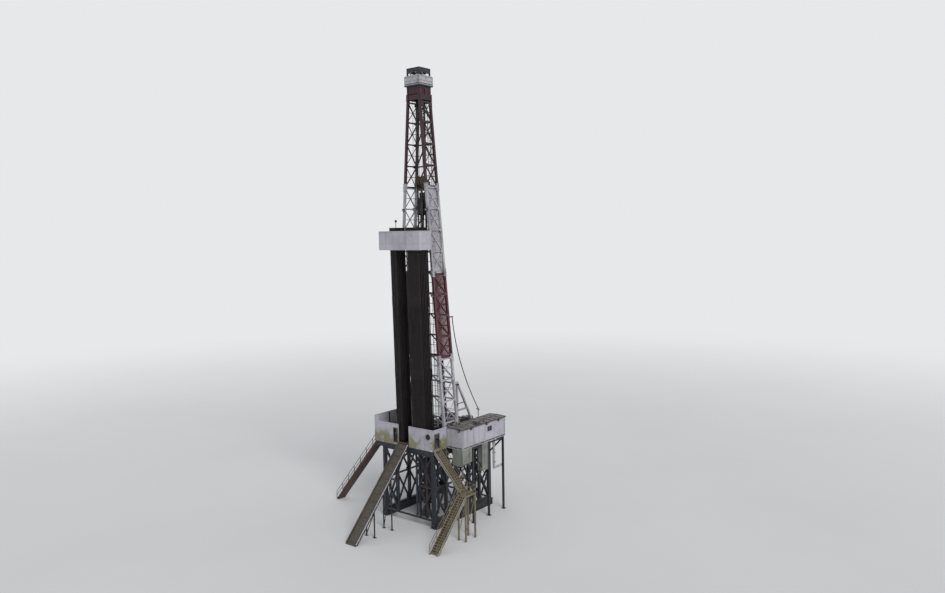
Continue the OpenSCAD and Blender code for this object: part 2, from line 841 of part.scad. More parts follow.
module top_frame() {
    z = mast_z + crown_h + platform_t;
    w = top_frame_w;
    x = leg_top_x;
    y = platform_y - 160;
    top = z + top_frame_h;
    color(red) translate([0, crown_y, 0]) {
        for (s = [-1, 1]) {
            for (t = [-1, 1]) post_between(s * x, t * y, w, z, top);
            block([s * x - w / 2, -y, top - w], [s * x + w / 2, y, top]);
            block([-x, s * y - w / 2, top - w], [x, s * y + w / 2, top]);
        }
        block([-x, -w / 2, top - w], [x, w / 2, top]);
        translate([0, 0, top - 1]) along_y() linear_extrude(w, center = true)
            polygon([[-y * 0.6, 0], [y * 0.6, 0], [y * 0.3, 110], [-y * 0.3, 110]]);
    }
}

// Travelling block, top drive and lines

module cheek_drawing() {
    r = sheave_r + 40;
    low = block_low - sheave_z;
    circle(r = r);
    polygon([[-r, 0], [-170, low], [170, low], [r, 0]]);
}

module travelling_block() {
    color(olive) {
        sheave_cluster(sheave_z, block_w / 2 - 1);
        for (s = [-1, 1]) translate([s * (block_w / 2 - cheek_t / 2), 0, sheave_z]) along_y()
            linear_extrude(cheek_t, center = true) cheek_drawing();
        block([-block_w / 2 + 10, -120, block_low], [block_w / 2 - 10, 120, block_low + 130]);
    }
}

module top_drive() {
    top = block_low - seat;
    low = block_low - top_drive_h;
    body_top = top - drive_link_h;
    body_low = body_top - drive_body_h;
    color(dark) {
        translate([0, 0, body_top - 1]) cylinder(r = 70, h = top - body_top + 1);
        for (s = [-1, 1]) {
            block([s * 150 - 25, -45, body_top - 60], [s * 150 + 25, 45, top - 120]);
            block([s * 190 - 60, -200, body_low], [s * 190 + 60, 200, body_top]);
            block([s * 130 - 18, -30, low + 60], [s * 130 + 18, 30, body_low + 80]);
        }
        block([-180, -45, top - 200], [180, 45, top - 110]);
        block([-200, -150, body_low + 60], [200, 150, body_top - 40]);
        for (s = [-1, 1]) translate([s * 130, 0, body_top - 60]) cylinder(r = 95, h = 260);
        translate([0, 0, low]) cylinder(r = 60, h = body_low - low + 80);
        translate([0, 0, body_low - 320]) cylinder(r = 140, h = 340);
        block([-190, -60, low], [190, 60, low + 120]);
    }
}

module drilling_lines() {
    low = sheave_z;
    high = crown_sheave_z;
    y = groove_r + line_d / 2 + seat;
    color(dark) for (k = [0 : sheave_count - 1], s = [-1, 1])
        translate([sheave_x(k), s * y, low]) cylinder(d = line_d, h = high - low);
}

// Racking board and standing pipe

module racking_board() {
    w = board_beam_h;
    z = floor_z + board_z;
    half = board_half - seat;
    front = -board_front + 30 + seat;
    arm_x = leg_x(board_z + w / 2);
    color(navy) {
        block([-half, front, z], [half, front + w, z + w]);
        for (s = [-1, 1]) {
            block([s * half - (s > 0 ? w : 0), front, z], [s * half + (s > 0 ? 0 : w), -board_rear, z + w]);
            block([s * arm_x - w / 2, -board_rear - w, z], [s * arm_x + w / 2, -mast_front - seat, z + w]);
            block([min(s * half, s * arm_x), -board_rear - w, z],
                [max(s * half, s * arm_x), -board_rear, z + w]);
        }
        for (i = [0 : row_count]) {
            y = row_y(i) - row_pitch / 2 + row_shift(board_z);
            block([-half + 10, y - 15, z + w - finger_h], [-gangway_left, y + 15, z + w]);
            block([gangway_right, y - 15, z + w - finger_h], [half - 10, y + 15, z + w]);
        }
        reach = arm_x - w / 2 - seat;
        block([-reach, -board_rear, z + w - 30], [reach, -board_rear + walk_w, z + w]);
        for (y = [-board_rear, -board_rear + walk_w - 50])
            block([-reach, y, z + w - 90], [reach, y + 50, z + w - 29]);
    }
}

module racking_wall() {
    t = 30;
    low = floor_z + board_z - 100;
    color(white) {
        block([-board_half - t, -board_front, low], [board_half + t, -board_front + t, low + board_wall_h]);
        for (s = [-1, 1])
            block([s * board_half + (s > 0 ? 0 : -t), -board_front + t + seat, low],
                [s * board_half + (s > 0 ? t : 0), -board_rear, low + board_wall_h]);
    }
}

// Rows of pipe that touch, each row a curtain that leans forward
module stand_group(first, count) {
    foot_z = floor_z + mat_t + stand_d / 2 * sin(lean_angle);
    for (i = [0 : row_count - 1]) translate([0, row_y(i), foot_z]) rotate([lean_angle, 0, 0])
        linear_extrude(stand_h / cos(lean_angle)) for (k = [0 : count - 1])
            translate([first + pipe_pitch * k, 0]) circle(d = stand_d, $fn = 24);
}

module stands_left() {
    last = -gangway_left - stand_d / 2;
    color(dark) stand_group(last - (left_pipes - 1) * pipe_pitch, left_pipes);
}

module stands_right() {
    color(dark) stand_group(gangway_right + stand_d / 2, right_pipes);
}

// Service line

function unit(v) = v / norm(v);
function heading(p, i) = unit(p[min(i + 1, len(p) - 1)] - p[max(i - 1, 0)]);
function ring(c, dir, r, sides) =
    let (u = unit(cross(dir, [1, 0, 0])), w = cross(dir, u))
    [for (k = [0 : sides - 1]) c + r * (cos(360 * k / sides) * u + sin(360 * k / sides) * w)];

module tube(route, d, sides) {
    n = len(route);
    points = [for (i = [0 : n - 1]) each ring(route[i], heading(route, i), d / 2, sides)];
    walls = [for (i = [0 : n - 2], k = [0 : sides - 1])
        [i * sides + k, (i + 1) * sides + k, (i + 1) * sides + (k + 1) % sides, i * sides + (k + 1) % sides]];
    ends = [[for (k = [0 : sides - 1]) k], [for (k = [sides - 1 : -1 : 0]) (n - 1) * sides + k]];
    polyhedron(points, concat(walls, ends));
}

module service_line() {
    color(dark) tube(line_route, line_tube_d, 8);
}

// Wind walls

wall_low = floor_z - wall_drop;
wall_top = floor_z + wall_h;
tall_top = floor_z + tall_wall_h;
front_in = -deck_front;
front_out = -deck_front - wall_t;
stair_y = -deck_front + stair_w / 2;
left_stair_y = -deck_front + left_door_in;

module front_walls() {
    jamb = 100;
    left_out = -deck_left - wall_t;
    gap_left = -ramp_off - v_door_w / 2;
    gap_right = -ramp_off + v_door_w / 2;
    door_right = gap_left - jamb;
    color(white) {
        difference() {
            block([left_out, front_out, wall_low], [gap_left, front_in, wall_top]);
            block([door_right - front_door_w, front_out - 1, floor_z],
                [door_right, front_in + 1, floor_z + door_h]);
        }
        block([left_out, front_out, wall_top - 1], [left_out + corner_w, front_in, tall_top]);
        block([gap_right, front_out, wall_low], [deck_right + wall_t, front_in, wall_top]);
    }
}

// The doorway through a side wall whose outer or inner face is at x
module side_door(x, y) {
    block([x - 1, y - door_w / 2, floor_z], [x + wall_t + 1, y + door_w / 2, floor_z + door_h]);
}

module side_walls() {
    color(white) {
        difference() {
            block([-deck_left - wall_t, front_in, wall_low], [-deck_left, front_in + left_wall_l, tall_top]);
            side_door(-deck_left - wall_t, left_stair_y);
        }
        difference() {
            block([deck_right, front_in, wall_low], [deck_right + wall_t, -dog_front - roof_lip, wall_top]);
            side_door(deck_right, stair_y);
        }
    }
}

// Doghouse

dog_left = deck_right;
dog_right = deck_right + dog_w;
dog_y0 = -dog_front;
dog_y1 = dog_y0 + dog_l;
door_sill = 40;

module doghouse_floor() {
    color(grey) block([dog_left, dog_y0, floor_z - dog_floor_t], [dog_right, dog_y1, floor_z]);
}

module window_cut(y, x) {
    block([x - dog_wall_t - 1, y - window_w / 2, floor_z + sill_h],
        [x + dog_wall_t + 1, y + window_w / 2, floor_z + sill_h + window_h]);
}

module doghouse_side_walls() {
    top = floor_z + dog_h;
    color(white) {
        difference() {
            block([dog_left, dog_y0, floor_z], [dog_left + dog_wall_t, dog_y1, top]);
            translate([0, dog_y0 + dog_l * 0.62, floor_z + door_sill])
                block([dog_left - 1, 0, 0], [dog_left + dog_wall_t + 1, door_w, door_h]);
            window_cut(dog_y0 + dog_l * 0.3, dog_left);
        }
        difference() {
            block([dog_right - dog_wall_t, dog_y0, floor_z], [dog_right, dog_y1, top]);
            window_cut(dog_y0 + dog_l * 0.62, dog_right);
        }
    }
}

module doghouse_end_walls() {
    top = floor_z + dog_h;
    left = dog_left + dog_wall_t;
    right = dog_right - dog_wall_t;
    mid = (left + right) / 2;
    color(white) {
        block([left, dog_y0, floor_z], [right, dog_y0 + dog_wall_t, top]);
        difference() {
            block([left, dog_y1 - dog_wall_t, floor_z], [right, dog_y1, top]);
            translate([mid, dog_y1, floor_z + door_sill])
                block([-door_w / 2, -dog_wall_t - 1, 0], [door_w / 2, 1, door_h]);
        }
    }
}

module doghouse_roof() {
    z = floor_z + dog_h;
    color(grey) translate([0, dog_y1 + roof_lip, z]) along_x() linear_extrude(dog_l + 2 * roof_lip)
        polygon([[dog_left - roof_lip, 0], [dog_right + roof_lip, 0], [dog_right + roof_lip, roof_t * 0.5],
            [(dog_left + dog_right) / 2, roof_t * 1.3], [dog_left - roof_lip, roof_t * 0.5]]);
}

dog_under = floor_z - dog_floor_t;
support_post = 120;
support_front = dog_y0 + tank_l + 150;
support_rear = dog_y1 - 200;
support_y = [support_front, (support_front + support_rear) / 2, support_rear];

// The tank under the doghouse's front end, with a hopper bottom and three bands
module doghouse_tank() {
    x0 = dog_right - tank_w;
    x1 = dog_right;
    low = dog_under - tank_h;
    slope = 180;
    module outline(grow) {
        polygon([[x0 - grow, low + slope], [x0 + slope, low - grow], [x1 - slope, low - grow],
            [x1 + grow, low + slope], [x1 + grow, dog_under], [x0 - grow, dog_under]]);
    }
    band = 12;
    color(grey) translate([0, dog_y0 + tank_l, 0]) along_x() {
        translate([0, 0, band]) linear_extrude(tank_l - 2 * band) outline(-band);
        for (k = [0, 0.5, 1]) translate([0, 0, (tank_l - 60) * k]) linear_extrude(60) outline(0);
    }
    color(grey) block([x0, dog_y0, dog_under - 60], [x1, dog_y0 + tank_l, dog_under]);
}

module doghouse_cabinet() {
    x0 = dog_right - cabinet_w;
    y1 = support_y[1] - support_post / 2 - 40;
    y0 = y1 - cabinet_l;
    low = dog_under - cabinet_h;
    rim = 60;
    color(grey) difference() {
        block([x0, y0, low], [dog_right, y1, dog_under]);
        for (k = [0, 1]) translate([dog_right - 15, y0 + rim + k * (cabinet_l - rim) / 2, low + rim])
            cube([20, (cabinet_l - 3 * rim) / 2, cabinet_h - 2 * rim]);
    }
}

// A pipe that hangs from the doghouse floor and turns towards the rear
module drop_pipe() {
    r = drop_pipe_d / 2;
    low = dog_under - drop_pipe_h;
    color(white) translate([dog_right - support_post - r - 30, dog_y1 - 1030, 0]) {
        translate([0, 0, low]) {
            cylinder(r = r, h = drop_pipe_h);
            sphere(r = r);
            rotate([-90, 0, 0]) cylinder(r = r, h = drop_pipe_l);
            translate([0, drop_pipe_l - 30, 0]) rotate([-90, 0, 0]) cylinder(r = r + 20, h = 30);
        }
        translate([0, 0, dog_under - 30]) cylinder(r = r + 20, h = 30);
    }
}

module doghouse_supports() {
    post = support_post;
    beam_h = 160;
    top = dog_under;
    x0 = deck_right + seat;
    x1 = dog_right;
    under = top - beam_h - seat;
    color(navy) for (y = support_y)
        translate([0, y, 0]) along_x() linear_extrude(post, center = true) {
            translate([x0, top - beam_h]) square([x1 - x0, beam_h]);
            translate([x1 - post, 0]) square([post, under]);
            intersection() {
                translate([x0, 0]) square([x1 - post - seat - x0, under]);
                strip([x0 - post, under - dog_w], [x1, under + post], post * 0.7);
            }
        }
}

// Ramp and stairs

module ramp() {
    plate = 60;
    side = 140;
    run = floor_z / tan(ramp_angle);
    lip = -deck_front;
    foot = lip - ramp_head - run;
    module profile(depth, proud) {
        polygon([[lip, floor_z - depth], [lip, floor_z + proud], [lip - ramp_head, floor_z + proud],
            [foot, proud], [foot, 0], [foot + depth / sin(ramp_angle), 0],
            [lip - ramp_head, floor_z - depth]]);
    }
    color(olive) {
        translate([-ramp_off, 0, 0]) along_y() linear_extrude(ramp_w - 60, center = true) profile(plate, 0);
        for (s = [-1, 1]) translate([-ramp_off + s * (ramp_w / 2 - 30), 0, 0]) along_y()
            linear_extrude(60, center = true) profile(side, 60);
    }
}

// A flight of stairs that goes down along +X from the origin, with its width along Y
module flight(run, drop) {
    steps = round(drop / step_h);
    slope = atan(drop / run);
    t = stringer_t;
    off = stringer_h / 2 / cos(slope);
    posts = ceil(run / 700);
    module side() {
        linear_extrude(t, center = true) {
            intersection() {
                translate([0, -drop]) square([run, drop + 50]);
                strip([-run, drop - off], [2 * run, -2 * drop - off], stringer_h);
            }
            intersection() {
                translate([0, -drop]) square([run, drop + rail_h + 50]);
                union() {
                    for (h = [rail_h, rail_h / 2])
                        strip([-run, h + drop], [2 * run, h - 2 * drop], rail_w);
                    for (k = [0 : posts]) {
                        x = rail_w / 2 + (run - rail_w) * k / posts;
                        strip([x, -x * drop / run - off], [x, rail_h - x * drop / run], rail_w);
                    }
                }
            }
        }
    }
    for (s = [-1, 1]) translate([0, s * (stair_w / 2 - t / 2), 0]) along_x() side();
    for (k = [1 : steps - 1]) {
        x = run * k / steps;
        block([x - run / steps * 0.9, -stair_w / 2 + t + seat, -drop * k / steps - 25],
            [x + 5, stair_w / 2 - t - seat, -drop * k / steps]);
    }
}

landing_x = deck_right + wall_t + upper_run;
landing_rear = stair_y + stair_w / 2;
landing_front = landing_rear - landing_d;

module right_stair_upper() {
    color(stair_tan) translate([deck_right + wall_t, stair_y, floor_z])
        flight(upper_run, floor_z - landing_z);
}

module right_stair_lower() {
    color(stair_tan) translate([landing_x + landing_l / 2, landing_front, landing_z]) rotate([0, 0, -90])
        flight(lower_run, landing_z);
}

module right_stair_landing() {
    x0 = landing_x;
    x1 = landing_x + landing_l;
    y0 = landing_front;
    y1 = landing_rear;
    leg = 90;
    t = 50;
    lane = x0 + landing_l / 2 - stair_w / 2;
    color(stair_tan) {
        block([x0, y0, landing_z - t], [x1, y1, landing_z]);
        for (x = [x0, x1 - leg], y = [y0, y1 - leg]) block([x, y, 0], [x + leg, y + leg, landing_z - t + 1]);
        translate([0, 0, landing_z - 1]) {
            translate([x1 - rail_w / 2, y0, 0]) along_y() rail_drawing(y1 - y0, rail_w);
            translate([x0, y1 - rail_w / 2, 0]) along_x() rail_drawing(x1 - x0, rail_w);
            translate([x0 + rail_w / 2, y0, 0]) along_y() rail_drawing(y1 - stair_w - y0, rail_w);
        }
    }
}

module left_stair() {
    color(rust) translate([-deck_left - wall_t, left_stair_y, floor_z]) rotate([0, 0, 180])
        flight(left_run, floor_z);
}

base_skids();
side_frame(-1);  // side_frame_left
side_frame(1);  // side_frame_right
cross_frames();
floor_beams();
drill_floor();
setback_mats();
translate([0, 0, floor_z]) rotary_table();
cellar_ring();
bop_stack();
bell_nipple();
well_posts();
drawworks();
rear_frames();
rear_rails();
mast_left(1);  // mast_1_left
mast_right(1);  // mast_1_right
mast_rear(1);  // mast_1_back
mast_left(2);  // mast_2_left
mast_right(2);  // mast_2_right
mast_rear(2);  // mast_2_back
mast_left(3);  // mast_3_left
mast_right(3);  // mast_3_right
mast_rear(3);  // mast_3_back
mast_left(4);  // mast_4_left
mast_right(4);  // mast_4_right
mast_rear(4);  // mast_4_back
guide_rails();
crown_beams();
crown_sheaves();
crown_platform();
crown_rails();
top_frame();
travelling_block();
top_drive();
drilling_lines();
racking_board();
racking_wall();
stands_left();
stands_right();
service_line();
front_walls();
side_walls();
doghouse_floor();
doghouse_side_walls();
doghouse_end_walls();
doghouse_roof();
doghouse_supports();
doghouse_tank();
doghouse_cabinet();
drop_pipe();
ramp();
right_stair_upper();
right_stair_landing();
right_stair_lower();
left_stair();
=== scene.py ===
import bpy
import bmesh
import json
import math
import random
from mathutils import Matrix, Vector


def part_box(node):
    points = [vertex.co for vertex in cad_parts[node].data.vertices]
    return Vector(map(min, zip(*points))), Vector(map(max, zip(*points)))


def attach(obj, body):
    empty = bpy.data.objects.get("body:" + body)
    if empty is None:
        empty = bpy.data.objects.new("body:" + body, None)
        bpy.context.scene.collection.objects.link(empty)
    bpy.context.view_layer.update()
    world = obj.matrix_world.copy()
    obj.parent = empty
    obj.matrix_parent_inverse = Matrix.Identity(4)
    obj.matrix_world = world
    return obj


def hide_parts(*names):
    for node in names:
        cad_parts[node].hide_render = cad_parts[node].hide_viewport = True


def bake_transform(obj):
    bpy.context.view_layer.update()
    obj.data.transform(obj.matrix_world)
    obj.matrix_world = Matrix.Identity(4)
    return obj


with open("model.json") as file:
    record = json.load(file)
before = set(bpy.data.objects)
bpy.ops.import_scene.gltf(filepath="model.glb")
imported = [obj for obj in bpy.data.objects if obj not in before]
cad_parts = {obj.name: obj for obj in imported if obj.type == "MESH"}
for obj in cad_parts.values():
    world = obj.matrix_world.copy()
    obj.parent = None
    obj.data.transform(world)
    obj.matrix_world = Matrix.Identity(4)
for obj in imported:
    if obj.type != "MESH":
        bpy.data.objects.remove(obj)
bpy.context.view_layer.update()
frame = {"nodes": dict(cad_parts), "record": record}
nodes = frame["nodes"]
chance = random.Random(11)
scene = bpy.context.scene

# The camera stands where the photo was taken from, and looks a little lower so that the feet show

IMAGE_W, SENSOR = 945, 36
AZIMUTH = math.radians(41.7)
DISTANCE = 51.73
EYE_HEIGHT = 19.0
YAW = math.radians(3.61)
PITCH = math.radians(-4.6)
ROLL = math.radians(0.84)
FOCUS = 775.0


def place_camera():
    eye = Vector((DISTANCE * math.sin(AZIMUTH), -DISTANCE * math.cos(AZIMUTH), EYE_HEIGHT))
    heading = AZIMUTH - YAW
    level = math.cos(PITCH)
    ahead = Vector((-math.sin(heading) * level, math.cos(heading) * level, math.sin(PITCH)))
    right = Vector((math.cos(heading), math.sin(heading), 0))
    up = right.cross(ahead)
    c, s = math.cos(ROLL), math.sin(ROLL)
    right, up = c * right - s * up, s * right + c * up
    data = bpy.data.cameras.new("camera")
    data.sensor_width = SENSOR
    data.lens = FOCUS / IMAGE_W * SENSOR
    data.clip_end = 900
    camera = bpy.data.objects.new("camera", data)
    camera.matrix_world = Matrix.Translation(eye) @ Matrix((right, up, -ahead)).transposed().to_4x4()
    scene.collection.objects.link(camera)
    scene.camera = camera


place_camera()

# Sizes that the drill floor, the mast and the pipe share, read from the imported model

SIDES = (-1, 1)
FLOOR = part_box("drill_floor")[1].z
MAST_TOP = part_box("crown_beams")[0].z
MAST_H = MAST_TOP - FLOOR
LEG_W = 0.15
SECTIONS, BAYS = 4, 4
FOOT_X, TOP_X = 2.155, 0.51
FRONT_Y, FOOT_Y, TOP_Y = -0.59, 0.78, 0.41


def leg_x(h):
    """Half the distance between the mast's sides at height h above the floor."""
    return FOOT_X + (TOP_X - FOOT_X) * h / MAST_H


def leg_y(h):
    """Depth of the mast's rear face at height h above the floor."""
    return FOOT_Y + (TOP_Y - FOOT_Y) * h / MAST_H


# Materials: every finish is built from the same few layers on Object coordinates


def srgb(r, g, b):
    def linear(v):
        v /= 255
        return v / 12.92 if v <= 0.04045 else ((v + 0.055) / 1.055) ** 2.4
    return (linear(r), linear(g), linear(b), 1)


MIX_FACTOR, MIX_A, MIX_B, MIX_RESULT = 0, 6, 7, 2  # the mix node's sockets when it mixes colours
SPOT_LIFT = 0.0015


def add_node(tree, kind, inputs=(), **settings):
    """A shader node; each input is linked when it is given a socket, and set when it is given a value."""
    node = tree.nodes.new(kind)
    for key, value in settings.items():
        setattr(node, key, value)
    for key, value in inputs:
        if isinstance(value, bpy.types.NodeSocket):
            tree.links.new(value, node.inputs[key])
        else:
            node.inputs[key].default_value = value
    return node


class Finish:
    """A material whose layers are added one over the other, as paint, grime and rust are."""

    def __init__(self, name):
        self.material = bpy.data.materials.new(name)
        self.material.use_nodes = True
        self.tree = self.material.node_tree
        self.shader = self.tree.nodes["Principled BSDF"]
        coordinates = self.tree.nodes.new("ShaderNodeTexCoord")
        self.place = coordinates.outputs["Object"]
        self.normal = coordinates.outputs["Normal"]
        self.colour = None
        self.heights = []

    def node(self, kind, inputs=(), **settings):
        return add_node(self.tree, kind, inputs, **settings)

    def noise(self, scale, detail=4.0, stretch=(1, 1, 1), offset=(0, 0, 0)):
        place = self.node("ShaderNodeMapping",
                          [("Vector", self.place), ("Scale", stretch), ("Location", offset)])
        return self.node("ShaderNodeTexNoise", [("Vector", place.outputs[0]), ("Scale", scale),
                                                ("Detail", detail), ("Roughness", 0.6)]).outputs[0]

    def between(self, value, low, high, to_low=0.0, to_high=1.0):
        inputs = [("Value", value), ("From Min", low), ("From Max", high), ("To Min", to_low),
                  ("To Max", to_high)]
        return self.node("ShaderNodeMapRange", inputs, interpolation_type="SMOOTHSTEP").outputs[0]

    def times(self, a, b):
        return self.node("ShaderNodeMath", [(0, a), (1, b)], operation="MULTIPLY").outputs[0]

    def part(self, axis, source=None):
        return self.node("ShaderNodeSeparateXYZ", [(0, source or self.place)]).outputs[axis]

    def mix(self, amount, other):
        """Lays another colour over the one so far, where amount is high."""
        inputs = [(MIX_FACTOR, amount), (MIX_A, self.colour), (MIX_B, other)]
        self.colour = self.node("ShaderNodeMix", inputs, data_type="RGBA").outputs[MIX_RESULT]

    def start(self, colour, other, scale=0.9):
        self.colour = colour
        self.mix(self.between(self.noise(scale, 5), 0.35, 0.68), other)

    def streaks(self, colour, amount, low=0.48, high=0.75, scale=5.0):
        run = self.noise(scale, 3, stretch=(1, 1, 0.07))
        self.mix(self.times(self.between(run, low, high), amount), colour)

    def spots(self, colour, amount, low, high, scale=6.0):
        spot = self.between(self.noise(scale, 8, offset=(3.1, 1.7, 0.4)), low, high)
        self.mix(self.times(spot, amount), colour)
        self.heights.append((spot, SPOT_LIFT))

    def dust(self, colour, amount):
        flat = self.between(self.part(2, self.normal), 0.5, 0.95)
        self.mix(self.times(flat, amount), colour)

    def done(self, rough=(0.4, 0.65), metal=0.0, grain=40.0, depth=0.001):
        links = self.tree.links
        wear = self.noise(7.0, 6, offset=(0.7, 5.1, 2.3))
        links.new(self.colour, self.shader.inputs["Base Color"])
        links.new(self.between(wear, 0.3, 0.7, *rough), self.shader.inputs["Roughness"])
        self.shader.inputs["Metallic"].default_value = metal
        self.heights.append((self.noise(grain, 3), depth))
        surface = None
        for height, distance in self.heights:
            inputs = [("Height", height), ("Distance", distance), ("Strength", 1.0)]
            if surface:
                inputs.append(("Normal", surface))
            surface = self.node("ShaderNodeBump", inputs).outputs[0]
        links.new(surface, self.shader.inputs["Normal"])
        return self.material


RUST = srgb(92, 50, 30)
DARK_RUST = srgb(52, 30, 24)
GRIME = srgb(40, 38, 36)
DUST = srgb(120, 112, 100)


def weathered_paint(name, colour, other, rust=0.5, grime=0.35, dust=0.25):
    finish = Finish(name)
    finish.start(colour, other)
    finish.streaks(GRIME, grime)
    finish.spots(RUST, rust, 0.61, 0.67)
    finish.dust(DUST, dust)
    return finish.done((0.38, 0.62))


def greasy_steel(name, colour, other, metal=0.6, rough=(0.3, 0.6), rust=0.3):
    finish = Finish(name)
    finish.start(colour, other, 2.2)
    finish.streaks(GRIME, 0.4, scale=9.0)
    finish.spots(DARK_RUST, rust, 0.56, 0.66, 10)
    finish.dust(DUST, 0.15)
    return finish.done(rough, metal, 60, 0.0008)


def wall_paint(name, stained):
    """Pale painted sheet: dirt from the seams, runs below them and, on the floor's walls, a green stain."""
    finish = Finish(name)
    finish.start(srgb(174, 172, 181), srgb(157, 155, 163), 0.7)
    finish.streaks(srgb(105, 100, 96), 0.4, 0.5, 0.78, 4.5)
    if stained:
        height = finish.part(2)
        low_part = finish.between(height, FLOOR + 1.0, FLOOR + 0.35)
        patch = finish.between(finish.noise(1.3, 4, offset=(1.95, 0, 0.2)), 0.38, 0.50)
        finish.mix(finish.times(finish.times(low_part, patch), 0.8), srgb(110, 113, 62))
        deep = finish.between(finish.noise(3.1, 5, offset=(0.4, 2.2, 0)), 0.56, 0.66)
        finish.mix(finish.times(finish.times(low_part, deep), 0.45), srgb(128, 84, 40))
    finish.spots(srgb(98, 66, 48), 0.5, 0.64, 0.69, 4.0)
    finish.dust(DUST, 0.3)
    return finish.done((0.45, 0.68), 0.0, 25, 0.001)


def pipe_steel(name):
    finish = Finish(name)
    finish.start(srgb(34, 30, 31), srgb(26, 27, 31), 1.5)
    finish.streaks(srgb(60, 44, 36), 0.5, 0.5, 0.72, 14)
    finish.spots(DARK_RUST, 0.6, 0.55, 0.66, 9)
    return finish.done((0.35, 0.6), 0.55, 80, 0.0006)


def timber(name):
    finish = Finish(name)
    finish.start(srgb(64, 50, 40), srgb(48, 40, 35), 1.2)
    grain = finish.noise(5, 6, stretch=(0.4, 9, 9))
    finish.mix(finish.times(finish.between(grain, 0.45, 0.62), 0.5), srgb(34, 27, 23))
    finish.heights.append((grain, 0.004))
    finish.spots(srgb(24, 22, 22), 0.6, 0.56, 0.66, 3)
    return finish.done((0.6, 0.85), 0.0, 30, 0.001)


def rope_steel(name):
    """Laid wire: slanting strands that show as a fine ripple."""
    finish = Finish(name)
    finish.start(srgb(34, 30, 30), srgb(26, 23, 24), 3)
    lay = finish.node("ShaderNodeTexWave", [("Vector", finish.place), ("Scale", 18.0), ("Distortion", 1.5)],
                      bands_direction="DIAGONAL").outputs[1]
    finish.mix(finish.times(lay, 0.5), srgb(52, 46, 44))
    finish.heights.append((lay, 0.002))
    return finish.done((0.45, 0.65), 0.15, 60, 0.0005)


def hose_rubber(name):
    finish = Finish(name)
    finish.start(srgb(30, 30, 32), srgb(40, 38, 38), 2.0)
    braid = finish.node("ShaderNodeTexWave", [("Vector", finish.place), ("Scale", 9.0), ("Distortion", 0.6)],
                        bands_direction="Z").outputs[1]
    finish.heights.append((braid, 0.002))
    finish.dust(DUST, 0.3)
    return finish.done((0.6, 0.8), 0.0, 50, 0.0008)


def window_glass(name):
    finish = Finish(name)
    finish.start(srgb(14, 18, 25), srgb(24, 28, 34), 1.4)
    finish.streaks(srgb(60, 62, 66), 0.2)
    material = finish.done((0.08, 0.22), 0.0, 4, 0.0005)
    finish.shader.inputs["Specular IOR Level"].default_value = 0.35
    return material


def lamp_glass(name):
    finish = Finish(name)
    finish.start(srgb(205, 205, 200), srgb(180, 182, 184), 4)
    rings = finish.node("ShaderNodeTexWave", [("Vector", finish.place), ("Scale", 30.0)]).outputs[1]
    finish.heights.append((rings, 0.001))
    return finish.done((0.1, 0.25), 0.0, 60, 0.0004)


FINISHES = {
    "navy_steel": weathered_paint("navy steel paint", srgb(27, 30, 40), srgb(35, 37, 45), 0.4, 0.3, 0.25),
    "deck_steel": greasy_steel("deck plate", srgb(52, 50, 50), srgb(66, 60, 54), 0.3, (0.4, 0.7), 0.5),
    "worn_timber": timber("setback timber"),
    "bare_steel": greasy_steel("bare table steel", srgb(110, 106, 102), srgb(82, 78, 74), 0.8, (0.3, 0.55)),
    "ground_ring": weathered_paint("cellar ring paint", srgb(122, 120, 118), srgb(98, 95, 92), 0.6),
    "well_steel": weathered_paint("well head paint", srgb(64, 31, 28), srgb(50, 29, 27), 0.5, 0.5, 0.3),
    "machine_dark": greasy_steel("greasy machine paint", srgb(38, 38, 41), srgb(52, 50, 48), 0.2),
    "tank_grey": weathered_paint("grey green tank paint", srgb(130, 133, 126),
                                 srgb(112, 114, 108), 0.4, 0.4, 0.2),
    "mast_white": weathered_paint("white mast paint", srgb(172, 170, 177), srgb(146, 143, 150),
                                  0.6, 0.45, 0.1),
    "mast_faded_red": weathered_paint("faded red mast paint", srgb(86, 46, 53), srgb(72, 39, 46),
                                      0.4, 0.4, 0.1),
    "mast_red": weathered_paint("dark red mast paint", srgb(53, 20, 27), srgb(42, 19, 28), 0.35, 0.4, 0.1),
    "rail_white": weathered_paint("white rail paint", srgb(176, 175, 180), srgb(150, 148, 152),
                                  0.6, 0.4, 0.1),
    "sheave_steel": greasy_steel("sheave iron", srgb(48, 46, 46), srgb(66, 62, 58), 0.7),
    "platform_teal": weathered_paint("crown platform paint", srgb(34, 52, 58), srgb(42, 58, 62),
                                     0.4, 0.4, 0.2),
    "block_olive": weathered_paint("olive block paint", srgb(92, 85, 56), srgb(74, 68, 48), 0.4, 0.6, 0.15),
    "wire_rope": rope_steel("drilling line"),
    "panel_white": wall_paint("stained wall paint", True),
    "drill_pipe": pipe_steel("drill pipe steel"),
    "hose_rubber": hose_rubber("hose rubber"),
    "roof_grey": weathered_paint("grey roof paint", srgb(84, 81, 82), srgb(70, 68, 70), 0.4, 0.4, 0.3),
    "cabin_white": wall_paint("cabin paint", False),
    "ramp_steel": weathered_paint("ramp paint", srgb(64, 58, 53), srgb(51, 47, 44), 0.6, 0.5, 0.2),
    "stair_paint": weathered_paint("tan stair paint", srgb(118, 112, 86), srgb(98, 92, 72), 0.6, 0.4, 0.3),
    "stair_rust": weathered_paint("red brown stair paint", srgb(62, 28, 22), srgb(50, 26, 22), 0.5, 0.4, 0.2),
}
POST_PAINT = weathered_paint("blue grey post paint", srgb(76, 84, 97), srgb(62, 68, 80), 0.5, 0.4, 0.2)
# Painted shade: the mast's white, darkened to dark grey for the back and the left side of the third section,
# which lie in shade.
SHADED_PAINT = weathered_paint("white mast paint in painted shade", srgb(40, 42, 45), srgb(29, 31, 34), 0.4, 0.4, 0.1)
GLASS = window_glass("window glass")
LENS = lamp_glass("lamp glass")

